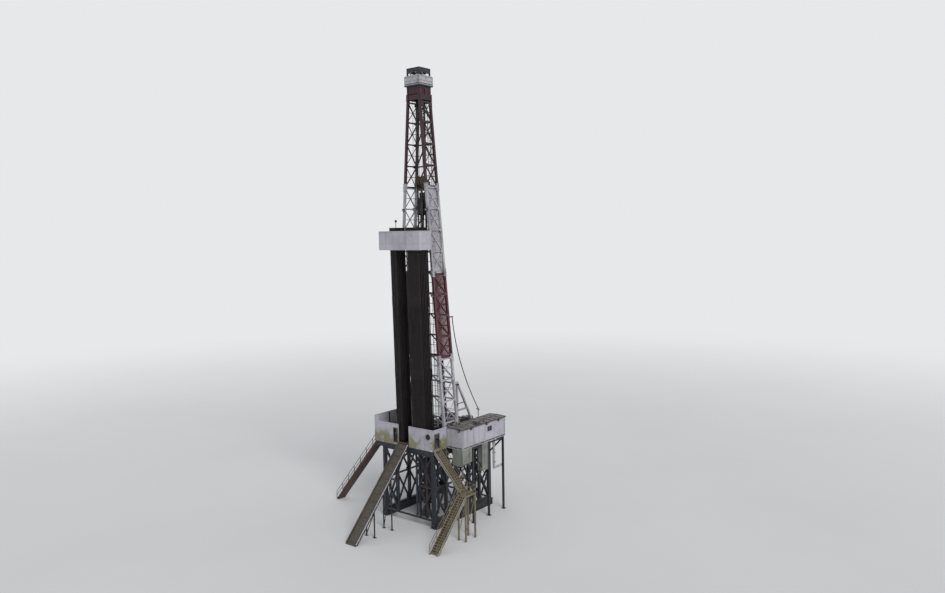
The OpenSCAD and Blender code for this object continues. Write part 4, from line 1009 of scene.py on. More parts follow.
def racking_fittings():
    low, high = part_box("racking_wall")
    ribs = []
    ends = ((low.x, -1), (high.x, 1))
    for z in (low.z, low.z + 0.42, high.z - 0.05):
        ribs.append(block((low.x - 0.012, low.y - 0.012, z), (high.x + 0.012, low.y, z + 0.05), 0.004))
        ribs += [block((x, low.y, z), (x + out * 0.012, high.y, z + 0.05), 0.004) for x, out in ends]
    width = (high.x - low.x) / 6
    for x in [low.x + width * k for k in range(7)]:
        ribs.append(block((x - 0.02, low.y - 0.014, low.z), (x + 0.02, low.y, high.z), 0.004))
    for x, out in ends:
        ribs += [block((x, y - 0.02, low.z), (x + out * 0.014, y + 0.02, high.z), 0.004)
                 for y in (low.y + 0.4, low.y + 0.8, high.y - 0.03)]
    piece("racking_wall_ribs", ribs, RACK_PAINT, smooth=0)
    board_low, board_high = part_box("racking_board")
    deck = board_high.z
    left = (-0.98, -0.90, -0.82, -0.74, -0.66, -0.58, -0.50)
    right = (0.50, 0.66, 0.82, 0.98, 1.14, 1.30, 1.46)
    latch = panelled((-0.02, -0.05, 0), (0.02, 0.02, 0.035), (0, 0, 1), 0.008, 0.006, 0.003)
    places = [shift(x, -1.185 - ROW_STEP * k - 0.02, deck) for k in range(ROWS + 1) for x in left + right]
    piece("finger_latches", copies(latch, places), "machine_dark", smooth=0)
    grate = []
    reach = 1.0
    for x in [-reach + 2 * reach * k / 23 for k in range(24)]:
        grate.append(block((x - 0.012, -1.10, deck), (x + 0.012, -0.76, deck + 0.012), 0))
    grate += [block((-reach, y - 0.01, deck), (reach, y + 0.01, deck + 0.014), 0)
              for y in (-1.08, -0.92, -0.78)]
    for x in (-1.02, 1.02):
        grate += [bar((x, y, deck), (x, y, deck + 0.55), 0.03) for y in (-0.80, -1.06)]
        grate += [bar((x, -0.80, deck + h), (x, -1.06, deck + h), 0.025) for h in (0.28, 0.55)]
    piece("board_walkway_grating", grate, "rail_white", smooth=0)
    pole_x, pole_y = -1.34, -1.13
    pole_top = (pole_x, pole_y, high.z + 0.58)
    gear = [panelled((-1.64, -1.50, low.z + 0.25), (-1.50, -1.20, low.z + 0.80), (1, 0, 0),
                     0.02, 0.01, 0.004),
            bar((pole_x, pole_y, deck), pole_top, 0.035),
            turned([(0.05, 0), (0.07, 0.03), (0.07, 0.12), (0.03, 0.17)], 14, "Z", pole_top)]
    gear += [bar((s * 1.66, -1.16, board_low.z), (s * 1.28, -0.64, board_low.z - 1.25), 0.06) for s in SIDES]
    piece("board_knees", gear, "navy_steel")


racking_fittings()

# Floor walls: battens over the seams, cap channels, door frames and a round light

WALL_LOW, WALL_TOP, TALL_TOP = 5.105, 6.50, 6.86
WALL_FACE = -1.96
DOOR_TOP = FLOOR + 0.95
PORT_X, PORT_Z = 1.87, 6.03


def frame_round(low, high, axis, width=0.05, sill=False):
    """Strips round an opening in a wall that faces along axis; low and high are its corners."""
    low, high = Vector(low), Vector(high)
    other = 1 - axis
    foot, head = low.z - (width if sill else 0), high.z + width
    a, b = low[other], high[other]
    runs = [(a - width, a, foot, head), (b, b + width, foot, head), (a, b, high.z, head)]
    if sill:
        runs.append((a, b, foot, low.z))
    made = []
    for near, far, bottom, top in runs:
        first, last = Vector((0, 0, bottom)), Vector((0, 0, top))
        first[axis], last[axis] = low[axis], high[axis]
        first[other], last[other] = near, far
        made.append(block(first, last, 0.006))
    return made


def wall_battens():
    y = WALL_FACE
    strips = [upright(x, y - 0.006, 0.02, 0.006, WALL_LOW, TALL_TOP if x < -2.5 else WALL_TOP)
              for x in (-2.92, -2.57, -1.95, -1.42, 0.20, 0.72, 1.20, 1.60, 2.30)]
    for a, b in ((-2.92, -0.76), (0.20, 2.32)):
        strips.append(block((a, y - 0.012, WALL_LOW), (b, y, WALL_LOW + 0.06), 0.004))
        strips.append(block((max(a, -2.55), y - 0.015, WALL_TOP - 0.05),
                            (b, y + 0.045, WALL_TOP + 0.012), 0.004))
    strips += blocks([((-2.935, y - 0.015, TALL_TOP - 0.05), (-2.555, y + 0.045, TALL_TOP + 0.012)),
                      ((-2.935, -1.92, TALL_TOP - 0.05), (-2.87, 1.98, TALL_TOP + 0.012))])
    strips += [upright(-2.926, side_y, 0.006, 0.02, WALL_LOW, TALL_TOP)
               for side_y in (-0.90, -0.32, 0.26, 0.84, 1.40, 1.95)]
    strips += [upright(2.326, side_y, 0.006, 0.02, WALL_LOW, WALL_TOP) for side_y in (-1.90, -1.30, -0.66)]
    strips += blocks([((2.275, y, WALL_TOP - 0.05), (2.335, -0.62, WALL_TOP + 0.012)),
                      ((2.32, y, WALL_LOW), (2.332, -0.66, WALL_LOW + 0.06))])
    piece("wall_battens", strips, "panel_white", smooth=0)
    inner = []
    for x in (-2.2, -1.6, 0.5, 1.1, 1.7):
        inner.append(upright(x, -1.89, 0.03, 0.03, FLOOR, WALL_TOP - 0.06, 0.006))
        inner.append(bar((x, -1.87, FLOOR + 0.85), (x, -1.55 if x < 0 else -1.912, FLOOR + 0.02), 0.045))
    for side_y in (-0.6, 0.1, 0.8, 1.5):
        inner.append(upright(-2.85, side_y, 0.03, 0.03, FLOOR, TALL_TOP - 0.06, 0.006))
        inner.append(bar((-2.83, side_y, DOOR_TOP), (-2.45, side_y, FLOOR + 0.02), 0.045))
    piece("wall_posts", inner, "navy_steel", smooth=0)


def wall_openings():
    y = WALL_FACE
    frames = frame_round((-1.16, y - 0.02, FLOOR), (-0.84, y + 0.045, DOOR_TOP), 1)
    frames += frame_round((-2.94, -1.51, FLOOR), (-2.875, -1.09, DOOR_TOP), 0)
    frames += frame_round((2.275, -1.83, FLOOR), (2.34, -1.41, DOOR_TOP), 0)
    piece("doorway_frames", frames, "roof_grey", smooth=0)
    rim = turned([(0.19, 0), (0.19, 0.012), (0.175, 0.022), (0.13, 0.022)], 28, "Y",
                 (PORT_X, y - 0.022, PORT_Z))
    piece("round_light_frame", rim, "machine_dark")
    pane = turned([(0.12, 0), (0.12, 0.004), (0.05, 0.008)], 28, "Y", (PORT_X, y - 0.029, PORT_Z))
    pane.data.transform(shift(0, 2 * (y - 0.026), 0) @ Matrix.Scale(-1, 4, (0, 1, 0)))
    mend_normals(piece("round_light_pane", pane, GLASS))


wall_battens()
wall_openings()

# Doghouse: battens, roof seams, gutters, windows, lamps and an air unit

CABIN_LOW, CABIN_TOP = 5.11, 6.42
CABIN_RIGHT, CABIN_FRONT, CABIN_REAR = 3.61, -0.58, 4.10
WINDOW_LOW, WINDOW_HIGH = 5.81, 6.13
EAVES_Z, RIDGE_X, RIDGE_Z = 6.415, 2.945, 6.508


def cabin_battens():
    def batten(x, y, dx, dy, low=CABIN_LOW):
        return upright(x, y, dx, dy, low, CABIN_TOP)

    strips = [batten(CABIN_RIGHT + 0.006, y, 0.006, 0.02)
              for y in (-0.56, 0.00, 0.585, 1.17, 1.755, 2.90, 3.49, 4.08)]
    for z in (5.11, 5.24, 6.37):
        strips += blocks([((CABIN_RIGHT, CABIN_FRONT, z), (CABIN_RIGHT + 0.015, CABIN_REAR, z + 0.04)),
                          ((2.34, CABIN_FRONT - 0.015, z), (CABIN_RIGHT, CABIN_FRONT, z + 0.04)),
                          ((2.30, CABIN_REAR, z), (CABIN_RIGHT, CABIN_REAR + 0.015, z + 0.04))])
    strips += [batten(x, CABIN_FRONT - 0.006, 0.02, 0.006) for x in (2.36, 2.78, 3.20, 3.59)]
    strips += [batten(x, CABIN_REAR + 0.006, 0.02, 0.006) for x in (2.32, 2.60, 3.30, 3.59)]
    strips += [batten(2.274, y, 0.006, 0.02, 5.28) for y in (2.05, 2.95, 3.50, 4.06)]
    piece("cabin_battens", strips, "cabin_white", smooth=0)


def cabin_roof():
    seams = []
    for y in [-0.60 + 4.72 * k / 9 for k in range(10)]:
        seams += bars([((2.245, y, 6.468), (RIDGE_X, y, RIDGE_Z)),
                       ((RIDGE_X, y, RIDGE_Z), (3.645, y, 6.468))],
                      0.035, 0.022)
    seams.append(bar((RIDGE_X, -0.62, 6.510), (RIDGE_X, 4.14, 6.510), 0.09, 0.014))
    for s, x in ((-1, 2.24), (1, 3.65)):
        for near, far, top, edge in ((0, -0.02, 6.475, 0.004), (0, 0.03, 6.43, 0.003),
                                     (0.03, 0.038, 6.46, 0.003)):
            seams.append(block((x + s * near, -0.63, EAVES_Z), (x + s * far, 4.15, top), edge))
    piece("roof_seams", seams, "roof_grey", smooth=0)
    pipes = [tube([(3.64, y, 6.43), (3.635, y, 5.16)], 0.022, 2) for y in (-0.50, 4.0)]
    piece("rain_pipes", pipes, "rail_white")


def cabin_openings():
    frames = frame_round((3.60, 2.07, WINDOW_LOW), (3.632, 2.57, WINDOW_HIGH), 0, 0.028, sill=True)
    frames += frame_round((2.266, 0.574, WINDOW_LOW), (2.30, 1.074, WINDOW_HIGH), 0, 0.028, sill=True)
    frames += frame_round((2.260, 2.32, FLOOR + 0.03), (2.30, 2.74, FLOOR + 0.99), 0, 0.045)
    frames += frame_round((2.735, 4.09, FLOOR + 0.03), (3.155, 4.125, FLOOR + 0.99), 1, 0.045)
    frames += [upright(x, mid, 0.006, 0.008, WINDOW_LOW, WINDOW_HIGH, 0.002)
               for x, mid in ((3.592, 2.32), (2.298, 0.824))]
    piece("cabin_frames", frames, "rail_white", smooth=0)
    glass = [panelled((3.583, 2.07, WINDOW_LOW), (3.589, 2.57, WINDOW_HIGH), (1, 0, 0), 0.02, 0.001, 0),
             panelled((2.301, 0.574, WINDOW_LOW), (2.307, 1.074, WINDOW_HIGH), (-1, 0, 0), 0.02, 0.001, 0)]
    piece("cabin_glass", glass, GLASS, smooth=0)


def cabin_units():
    unit = [panelled((2.36, 4.113, 5.95), (2.60, 4.185, 6.25), (0, 1, 0), 0.015, 0.01, 0.004)]
    unit += blocks([((2.38, 4.176, z), (2.58, 4.188, z + 0.012)) for z in rising(5.975, 0.03, 9)], 0)
    unit.append(panelled((3.20, 1.05, 6.50), (3.52, 1.45, 6.68), (0, 0, 1), 0.03, 0.012, 0.006))
    vent = [(0.03, 0), (0.03, 0.20), (0.055, 0.20), (0.055, 0.25), (0.02, 0.28)]
    wide_vent = [(0.05, 0), (0.05, 0.10), (0.08, 0.10), (0.08, 0.14), (0.02, 0.17)]
    unit += [turned(vent, 14, "Z", (3.45, 1.9, 6.48)), turned(wide_vent, 16, "Z", (2.6, 0.4, 6.485))]
    piece("cabin_air_units", unit, "roof_grey")
    housings, lenses = [], []
    for y in (0.30, 1.98, 3.30):
        floodlight((3.70, y, 6.40), (1, 0, -0.9), housings, lenses)
    floodlight((3.35, -0.68, 6.40), (0, -1, -0.9), housings, lenses)
    housings += bars([((CABIN_RIGHT, y, 6.30), (3.72, y, 6.29)) for y in (0.30, 3.30, 1.98)], 0.03)
    housings.append(bar((3.35, CABIN_FRONT, 6.30), (3.35, -0.70, 6.29), 0.03))
    piece("cabin_lamps", housings, "machine_dark")
    piece("cabin_lamp_lenses", lenses, LENS, smooth=0)


def under_cabin():
    """Fittings of the tank, the cabinet and the hanging pipe under the doghouse."""
    made = blocks([((2.745, -0.572, z), (3.60, -0.566, z + 0.05)) for z in (4.30, 4.55, 4.80)], 0.002)
    made += [upright(3.602, y, 0.004, 0.02, 4.22, 5.04, 0.002) for y in (-0.35, -0.10, 0.15)]
    made.append(turned([(0.13, 0), (0.13, 0.03), (0.10, 0.03), (0.10, 0.045)], 20, "X", (3.598, 0.14, 4.62)))
    made += [bolt(spot) for spot in circle(0.115, 8, "X", (3.625, 0.14, 4.62))]
    made.append(turned([(0.05, 0), (0.05, 0.16), (0.075, 0.16), (0.075, 0.19)], 14, "Z", (3.2, -0.1, 3.82)))
    made.append(tube([(3.2, -0.1, 3.9), (3.2, -0.1, 3.2), (2.6, -0.1, 3.0), (2.28, -0.1, 3.0)], 0.04, 3))
    piece("tank_fittings", made, "tank_grey")
    made = []
    for y in (1.525, 1.82):
        made.append(panelled((3.594, y + 0.005, 3.32), (3.604, y + 0.230, 5.03), (1, 0, 0), 0.025,
                             0.004, 0.002))
        made.append(bar((3.612, y + 0.19, 4.1), (3.612, y + 0.19, 4.3), 0.02))
        made += [rod(0.014, 0.07, 8, "Z", (3.608, y + 0.012, z)) for z in (3.5, 4.2, 4.85)]
        made += blocks([((3.604, y + 0.05, z), (3.609, y + 0.19, z + 0.012))
                        for z in rising(4.70, 0.03, 6)], 0)
    piece("cabinet_doors", made, "tank_grey", smooth=30)
    made = []
    for z in (3.45, 4.1, 4.75):
        made += [rod(0.095, 0.05, 18, "Z", (3.38, 3.07, z)), block((3.38, 3.04, z), (3.56, 3.10, z + 0.05))]
    made += [bolt(spot, "Y") for spot in circle(0.085, 8, "Y", (3.38, 4.085, 3.05))]
    piece("hanging_pipe_clamps", made, "rail_white")
    rails = []
    for x in (2.30, 3.55):
        for a, b in ((0.60, 2.15), (2.28, 3.84)):
            rails.append(bar((x, a, 4.98), (x, b, 4.98), 0.06, 0.10))
            if x < 3 or a < 1:
                rails += bars([((x, a, 4.90), (x, b, 2.4)), ((x, b, 4.90), (x, a, 2.4))], 0.05)
    for y in (0.53, 2.215, 3.90):
        rails += [upright(3.57, y, 0.13, 0.13, 0, 0.025, 0.006),
                  upright(2.955, y, 0.595, 0.06, 4.84, 4.90, 0.006)]
    piece("support_bracing", rails, "navy_steel", smooth=0)


cabin_battens()
cabin_roof()
cabin_openings()
cabin_units()
under_cabin()

# Ramp: cleats, roller, pale edge rails and struts; stairs: nosings, undersides and pale edges

STAIR_W = 0.6
LANDING_Z = 2.85


def stair_fit(name, start, run, drop, direction, colour, edge_colour):
    """Nosings, kick plates and an underside for a flight that goes down along direction."""
    steps = round(drop / 0.125)
    steep = drop / run
    slope = math.atan2(drop, run)
    made, edges = [], []
    inner = STAIR_W / 2 - 0.03
    for k in range(1, steps):
        x, z = run * k / steps, -drop * k / steps
        back = x - run / steps * 0.88
        made += blocks([((x - 0.012, -inner, z), (x + 0.006, inner, z + 0.008)),
                        ((back, -inner, z - 0.10), (back + 0.008, inner, z - 0.02))], 0)
    below = 0.15 / math.cos(slope)
    end = (drop - 0.03 - below) / steep
    made.append(bar((0.10, 0, -0.10 * steep - below), (end, 0, -end * steep - below), 2 * inner, 0.01, 0))
    posts = math.ceil(run / 0.7)
    for s in SIDES:
        y = s * (STAIR_W / 2 + 0.006)
        for off in (0.004, 0.150):
            z = -off / math.cos(slope)
            end = (drop - 0.03 + z) / steep
            edges.append(bar((0.03, y, z - 0.03 * steep), (end, y, z - end * steep), 0.012, 0.03, 0.002))
        for k in range(posts + 1):
            x = 0.0125 + (run - 0.025) * k / posts
            z = max(-x * steep - 0.12, -drop)
            made.append(block((max(x - 0.03, 0), y - 0.006, z),
                              (min(x + 0.03, run), y + 0.006, z + 0.09), 0.002))
    place = shift(*start) @ Matrix.Rotation(direction, 4, "Z")
    for obj in made + edges:
        obj.data.transform(place)
    piece(name + "_treads", made, colour, smooth=0)
    piece(name + "_edges", edges, edge_colour, smooth=0)


def ramp():
    slope = math.radians(47)
    lip = -1.92 - 0.10
    along = Vector((0, -math.cos(slope), -math.sin(slope)))
    out = Vector((0, -math.sin(slope), math.cos(slope)))
    top = Vector((-0.28, lip, FLOOR))
    length = FLOOR / math.sin(slope)
    half = Vector((0.36, 0, 0))
    cleats = []
    for k in range(13):
        middle = top + along * (0.35 + (length - 0.6) * k / 12) + out * 0.008
        cleats.append(bar(middle - half, middle + half, 0.05, 0.02))
    for x in (-0.20, 0, 0.20):
        start = top + Vector((x, 0, 0)) + out * 0.006
        cleats.append(bar(start + along * 0.1, start + along * (length - 0.15), 0.06, 0.014))
    cleats.append(rod(0.05, 0.66, 16, "X", (-0.61, lip + 0.04, FLOOR + 0.055)))
    cleats += blocks([((x, lip, FLOOR), (x + 0.02, lip + 0.09, FLOOR + 0.11)) for x in (-0.64, 0.06)], 0.006)
    piece("ramp_cleats", cleats, "ramp_steel", smooth=30)
    for x, paint, side in ((0.165, "rail_white", "right"), (-0.725, "ramp_steel", "left")):
        start = Vector((x, lip, FLOOR)) + out * 0.03
        lug = start - out * 0.05
        edge = [bar(start, start + along * (length - 0.12), 0.03, 0.05)]
        edge += bars([(lug + along * (0.3 + 0.8 * k), lug + along * (0.38 + 0.8 * k)) for k in range(9)],
                     0.02, 0.06)
        piece(f"ramp_{side}_edge", edge, paint, smooth=0)
    struts = []
    for t in (0.34, 0.66):
        point = top + along * (length * t) - out * 0.10
        left, right, y, z = point.x - 0.36, point.x + 0.36, point.y, point.z
        for x in (left, right):
            struts += [bar((x, y, 0), (x, y, z), 0.07), upright(x, y, 0.1, 0.1, 0, 0.02)]
        struts += [bar((left, y, z - 0.08), (right, y, z - 0.08), 0.07),
                   bar((left, y, 0.1), (right, y, z - 0.1), 0.04)]
    piece("ramp_struts", struts, "navy_steel", smooth=0)


def landing():
    """Grating bars on the stair's landing, the bracing under it and the plates of its posts."""
    grating = blocks([((4.56, y, LANDING_Z), (5.19, y + 0.01, LANDING_Z + 0.01))
                      for y in rising(-2.33, 0.05, 20)], 0)
    left, right = (4.60, -2.30), (5.155, -2.30)
    grating += bars([((*left, 0.5), (4.60, -1.37, 2.6)), ((*right, 0.5), (5.155, -1.37, 2.6)),
                     ((*left, 2.6), (*right, 1.6))], 0.04)
    grating += blocks([((x - 0.09, y - 0.09, 0), (min(x + 0.09, 5.199), y + 0.09, 0.015))
                       for x in (4.595, 5.155) for y in (-2.305, -1.365)], 0.003)
    piece("landing_grating", grating, "stair_paint", smooth=0)


ramp()
stair_fit("left_stair", (-2.92, -1.30, FLOOR), 4.47, FLOOR, math.pi, "stair_rust", "stair_rust")
stair_fit("right_upper_stair", (2.32, -1.62, FLOOR), 2.23, FLOOR - LANDING_Z, 0, "stair_paint", "rail_white")
stair_fit("right_lower_stair", (4.875, -2.35, LANDING_Z), 2.75, LANDING_Z, -math.pi / 2,
          "stair_paint", "rail_white")
landing()

# Drill floor: rope on the drum, brakes, motors, table fittings, pipe handler, manifold and rails

DRUM_Y, DRUM_Z, DRUM_R = 3.48, 5.81, 0.26


def drum_rope():
    """The drum's rope as a row of grooves, one to each turn."""
    profile = [(DRUM_R + 0.002, -0.40)]
    for x in rising(-0.40, 0.025, 32):
        profile += [(DRUM_R + 0.012, x + 0.006), (DRUM_R + 0.012, x + 0.018), (DRUM_R + 0.002, x + 0.024)]
    piece("drum_rope", turned(profile, 28, "X", (0, DRUM_Y, DRUM_Z)), "wire_rope")


def hoist_machinery():
    """Brakes, motors, housings and lids on both sides of the drum."""
    motor_y = DRUM_Y - 0.25
    parts = []
    for s in SIDES:
        parts += [ring(DRUM_R + 0.10, 0.018, "X", (s * x, DRUM_Y, DRUM_Z)) for x in (0.36, 0.50)]
        parts += blocks([((s * 0.405 - 0.05, y, DRUM_Z - 0.36), (s * 0.405 + 0.05, y + 0.06, DRUM_Z - 0.30))
                         for y in rising(DRUM_Y - 0.42, 0.17, 5)], 0.01)
        parts += [ring(0.216, 0.009, "X", (s * x, motor_y, DRUM_Z)) for x in rising(1.08, 0.034, 9)]
        parts.append(turned([(0.15, 0), (0.15, 0.02), (0.11, 0.035), (0.11, 0.06), (0.05, 0.06)], 20, "X",
                            outside(s, 1.432, 0.06, motor_y, DRUM_Z)))
        parts += bolt_circle(0.19, 10, "X", (s * 1.445, motor_y, DRUM_Z))
        x = s * 1.225
        parts.append(panelled((x - 0.12, motor_y - 0.30, DRUM_Z - 0.02),
                              (x + 0.12, motor_y - 0.19, DRUM_Z + 0.16),
                              (0, -1, 0), 0.02, 0.008))
        parts.append(tube([(x, motor_y - 0.25, DRUM_Z - 0.02), (x, motor_y - 0.28, FLOOR + 0.25),
                           (x, motor_y + 0.3, FLOOR + 0.03)], 0.03, 2))
        x = s * 0.77
        for low_y, high_y, out in ((0.50, 0.515, 1), (-0.515, -0.50, -1)):
            parts.append(panelled((x - 0.21, DRUM_Y + low_y, FLOOR + 0.16),
                                  (x + 0.21, DRUM_Y + high_y, FLOOR + 0.54),
                                  (0, out, 0), 0.03, 0.006))
        parts.append(panelled((x - 0.20, DRUM_Y - 0.30, FLOOR + 0.95),
                              (x + 0.20, DRUM_Y + 0.30, FLOOR + 0.965),
                              (0, 0, 1), 0.04, 0.006))
        parts.append(turned([(0.04, 0), (0.04, 0.03), (0.025, 0.05)], 12, "Z",
                            (x, DRUM_Y + 0.2, FLOOR + 0.96)))
    pump = (0.2, DRUM_Y + 0.42)
    parts.append(turned([(0.10, 0), (0.10, 0.20), (0.13, 0.20), (0.13, 0.32)], 18, "X",
                        (*pump, FLOOR + 0.22)))
    parts.append(tube([(-0.5, DRUM_Y + 0.45, FLOOR + 0.24), (*pump, FLOOR + 0.24)], 0.03, 2))
    piece("drawworks_fittings", parts, "machine_dark")
    front = DRUM_Y - 0.50
    guard = []
    for x in (-0.5, 0.5):
        guard += bars([((x, front, FLOOR + 0.12), (x, front, FLOOR + 0.80)),
                       ((x, front, FLOOR + 0.80), (x, DRUM_Y - 0.12, FLOOR + 1.02))], 0.035)
    guard += bars([((-0.5, front, FLOOR + h), (0.5, front, FLOOR + h)) for h in (0.2, 0.4, 0.6, 0.8)], 0.025)
    guard += bars([((x, front, FLOOR + 0.14), (x, front, FLOOR + 0.80)) for x in rising(-0.45, 0.9 / 13, 14)],
                  0.01, None, 0)
    piece("drum_guard", guard, "rail_white", smooth=0)


def table_rings():
    top = FLOOR + 0.06
    made = [ring(0.34, 0.016, "Z", (0, 0, top)), ring(0.27, 0.014, "Z", (0, 0, top))]
    made += bolt_circle(0.385, 16, "Z", (0, 0, top + 0.006))
    made += [upright(x, y, 0.05, 0.05, top - 0.02, top + 0.012, 0.01) for x, y in arc(45, 316, 90, 0.52)]
    piece("table_rings", made, "bare_steel")


def pipe_handler():
    x, y = 0.98, 0.32
    column = [(0.13, 0), (0.13, 0.10), (0.09, 0.14), (0.09, 0.95), (0.12, 0.99), (0.12, 1.05)]
    made = [upright(x, y, 0.22, 0.22, FLOOR, FLOOR + 0.06, 0.01),
            turned(column, 18, "Z", (x, y, FLOOR + 0.05)),
            panelled((x - 0.62, y - 0.34, FLOOR + 0.46), (x - 0.14, y - 0.02, FLOOR + 0.62),
                     (0, 0, 1), 0.03, 0.02),
            panelled((x - 0.60, y - 0.32, FLOOR + 0.68), (x - 0.16, y - 0.04, FLOOR + 0.86),
                     (0, 0, 1), 0.03, 0.02)]
    made += [bar((x, y, FLOOR + h), (x - 0.35, y - 0.18, FLOOR + h), wide)
             for h, wide in ((0.54, 0.12), (0.78, 0.10))]
    made.append(tube([(x, y + 0.1, FLOOR + 0.9), (x + 0.2, y + 0.25, FLOOR + 0.6),
                      (x + 0.35, y + 0.3, FLOOR + 0.02)],
                     0.025, 2))
    made += bolt_circle(0.17, 8, "Z", (x, y, FLOOR + 0.068))
    piece("pipe_handler", made, "machine_dark")


def mud_manifold():
    """Three valves between two headers, and the pipe that leads on to the high-pressure pipes."""
    z = FLOOR + 0.30
    made = []
    for y in (0.9, 1.2, 1.5):
        made.append(tube([(-2.45, y, z), (-1.95, y, z)], 0.045, 3))
        made.append(upright(-2.195, y, 0.085, 0.085, FLOOR + 0.22, FLOOR + 0.40, 0.015))
        made.append(rod(0.02, 0.16, 8, "Z", (-2.195, y, FLOOR + 0.40)))
        made.append(ring(0.075, 0.010, "Z", (-2.195, y, FLOOR + 0.55), 18))
        made += [rod(0.075, 0.04, 12, "X", (x, y, z)) for x in (-2.42, -2.01)]
    for x in (-2.45, -1.95):
        made.append(tube([(x, 0.80, z), (x, 1.60, z)], 0.055, 3))
        made += [upright(x, y, 0.07, 0.04, FLOOR, FLOOR + 0.26, 0.01) for y in (0.95, 1.35)]
    made.append(tube([(-1.95, 0.80, z), (-1.98, 0.5, z), (-1.975, 0.36, FLOOR + 0.25)], 0.055, 3))
    piece("mud_manifold", made, "machine_dark")


def driller_stand():
    lever = [(0.012, 0), (0.012, 0.08), (0.022, 0.09), (0.022, 0.11)]
    stand = [panelled((-1.62, 1.90, FLOOR), (-1.00, 2.25, FLOOR + 0.62), (0, -1, 0), 0.04, 0.01),
             panelled((-1.58, 1.86, FLOOR + 0.62), (-1.04, 2.20, FLOOR + 0.70), (0, 0, 1), 0.03, 0.012),
             bar((-1.31, 2.2, FLOOR + 0.65), (-1.31, 2.22, FLOOR + 1.0), 0.04),
             panelled((-1.48, 2.16, FLOOR + 0.80), (-1.14, 2.21, FLOOR + 1.06), (0, -1, 0), 0.02, 0.01)]
    stand += [turned(lever, 8, "Z", (x, 1.98, FLOOR + 0.69)) for x in rising(-1.5, 0.12, 4)]
    piece("driller_stand", stand, "roof_grey")


def rear_toe_board():
    """The board along the rear rails, its feet, and the clamps that hold the service line's end."""
    rails = [block((-2.86, 4.176, FLOOR), (2.26, 4.19, FLOOR + 0.10), 0.003)]
    rails += blocks([((x, 4.16, FLOOR), (x + 0.10, 4.195, FLOOR + 0.02)) for x in rising(-2.80, 0.555, 10)],
                    0.003)
    rails += [upright(x, 3.95, 0.02, 0.05, FLOOR + 1.40, FLOOR + 1.50) for x in (1.30, 1.50)]
    piece("rear_toe_board", rails, "rail_white", smooth=0)


def rear_frame_pins():
    """Pins, eyes and clamps at the ends of the two raked frames behind the mast."""
    made = []
    for x in (-1.87, 1.87):
        made += blocks([((x - 0.12, a, FLOOR), (x + 0.12, b, FLOOR + 0.05))
                        for a, b in ((0.84, 1.12), (3.0, 3.17))], 0.008)
        made += blocks([((x + off - 0.012, 2.96, FLOOR + 0.03), (x + off + 0.012, 3.19, FLOOR + 0.30))
                        for off in (-0.085, 0.085)], 0.03)
        made.append(rod(0.05, 0.26, 14, "X", (x - 0.13, 3.07, FLOOR + 0.17)))
        made.append(rod(0.07, 0.22, 16, "X", (x - 0.11, 1.075, FLOOR + 3.72)))
        made += [bar((x, y, FLOOR + h), (x, leg_y(h) + 0.03, FLOOR + h), 0.05)
                 for h, y in ((1.3, 2.48), (2.4, 1.83))]
    piece("rear_frame_pins", made, "navy_steel")


drum_rope()
hoist_machinery()
table_rings()
pipe_handler()
mud_manifold()
driller_stand()
rear_toe_board()
rear_frame_pins()

# Travelling gear: covers, links, ears and hoses that go up and down with the block


def travelling_fittings():
    block_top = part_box("travelling_block")[1].z
    made = []
    for s in SIDES:
        made.append(turned([(0.10, 0), (0.10, 0.012), (0.06, 0.018)], 20, "X",
                           outside(s, 0.235, 0.018, 0, BLOCK_Z)))
        made += bolt_circle(0.22, 10, "X", (s * 0.243, 0, BLOCK_Z), 0.8)
    made.append(block((-0.20, -0.36, block_top - 0.02), (0.20, -0.30, block_top), 0.006))
    piece("block_covers", made, "block_olive", body="travelling")
    made = []
    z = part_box("top_drive")[0].z
    for s in SIDES:
        made.append(tube([(s * 0.10, 0.0, z + 1.25), (s * 0.16, 0.0, z + 0.9), (s * 0.13, 0.0, z + 0.35)],
                         0.022, 2))
        made.append(panelled((s * 0.17 - 0.04, -0.19, z + 1.45),
                             (s * 0.17 + 0.04, -0.12, z + 2.05), (0, -1, 0),
                             0.015, 0.008))
        made.append(turned([(0.07, 0), (0.07, 0.36), (0.05, 0.40)], 16, "Z", (s * 0.14, 0.08, z + 2.0)))
    made += [tube([(x, 0.17, z + 1.3), (x, 0.19, z + 1.8), (x, 0.16, z + 2.3)], 0.012, 1)
             for x in rising(-0.09, 0.06, 4)]
    made += [ring(0.12, 0.016, "Z", (0, 0, z + up), 20) for up in (0.30, 0.60)]
    piece("top_drive_fittings", made, "machine_dark", body="travelling")


travelling_fittings()

# Substructure: joint plates, skid ribs, pipes under the floor and fittings of the well stack

SKID_FACE, FRAME_FACE = 2.38, 2.281
TRAY_SIDES = (-1.75, -1.22)


def frame_plates():
    low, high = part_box("side_frame_right")
    step = (high.y - low.y - 0.2) / 5
    plate = panelled((0, -0.19, -0.15), (0.012, 0.19, 0.15), (1, 0, 0), 0.02, 0.002, 0.003)
    spots = ((-0.14, -0.1), (-0.14, 0.1), (0.14, -0.1), (0.14, 0.1), (0, 0.1), (0, -0.1))
    plate = joined([plate] + [bolt((0.011, y, z)) for y, z in spots])
    places = []
    for y in rising(low.y + 0.1, step, 6):
        y = min(max(y, low.y + 0.2), high.y - 0.2)
        places += [shift(s * FRAME_FACE, y, z) @ Matrix.Diagonal((s, 1, 1, 1)) for z in (0.66, 2.62, 4.58)
                   for s in SIDES]
    mend_normals(piece("side_frame_plates", copies(plate, places), "navy_steel", smooth=0))


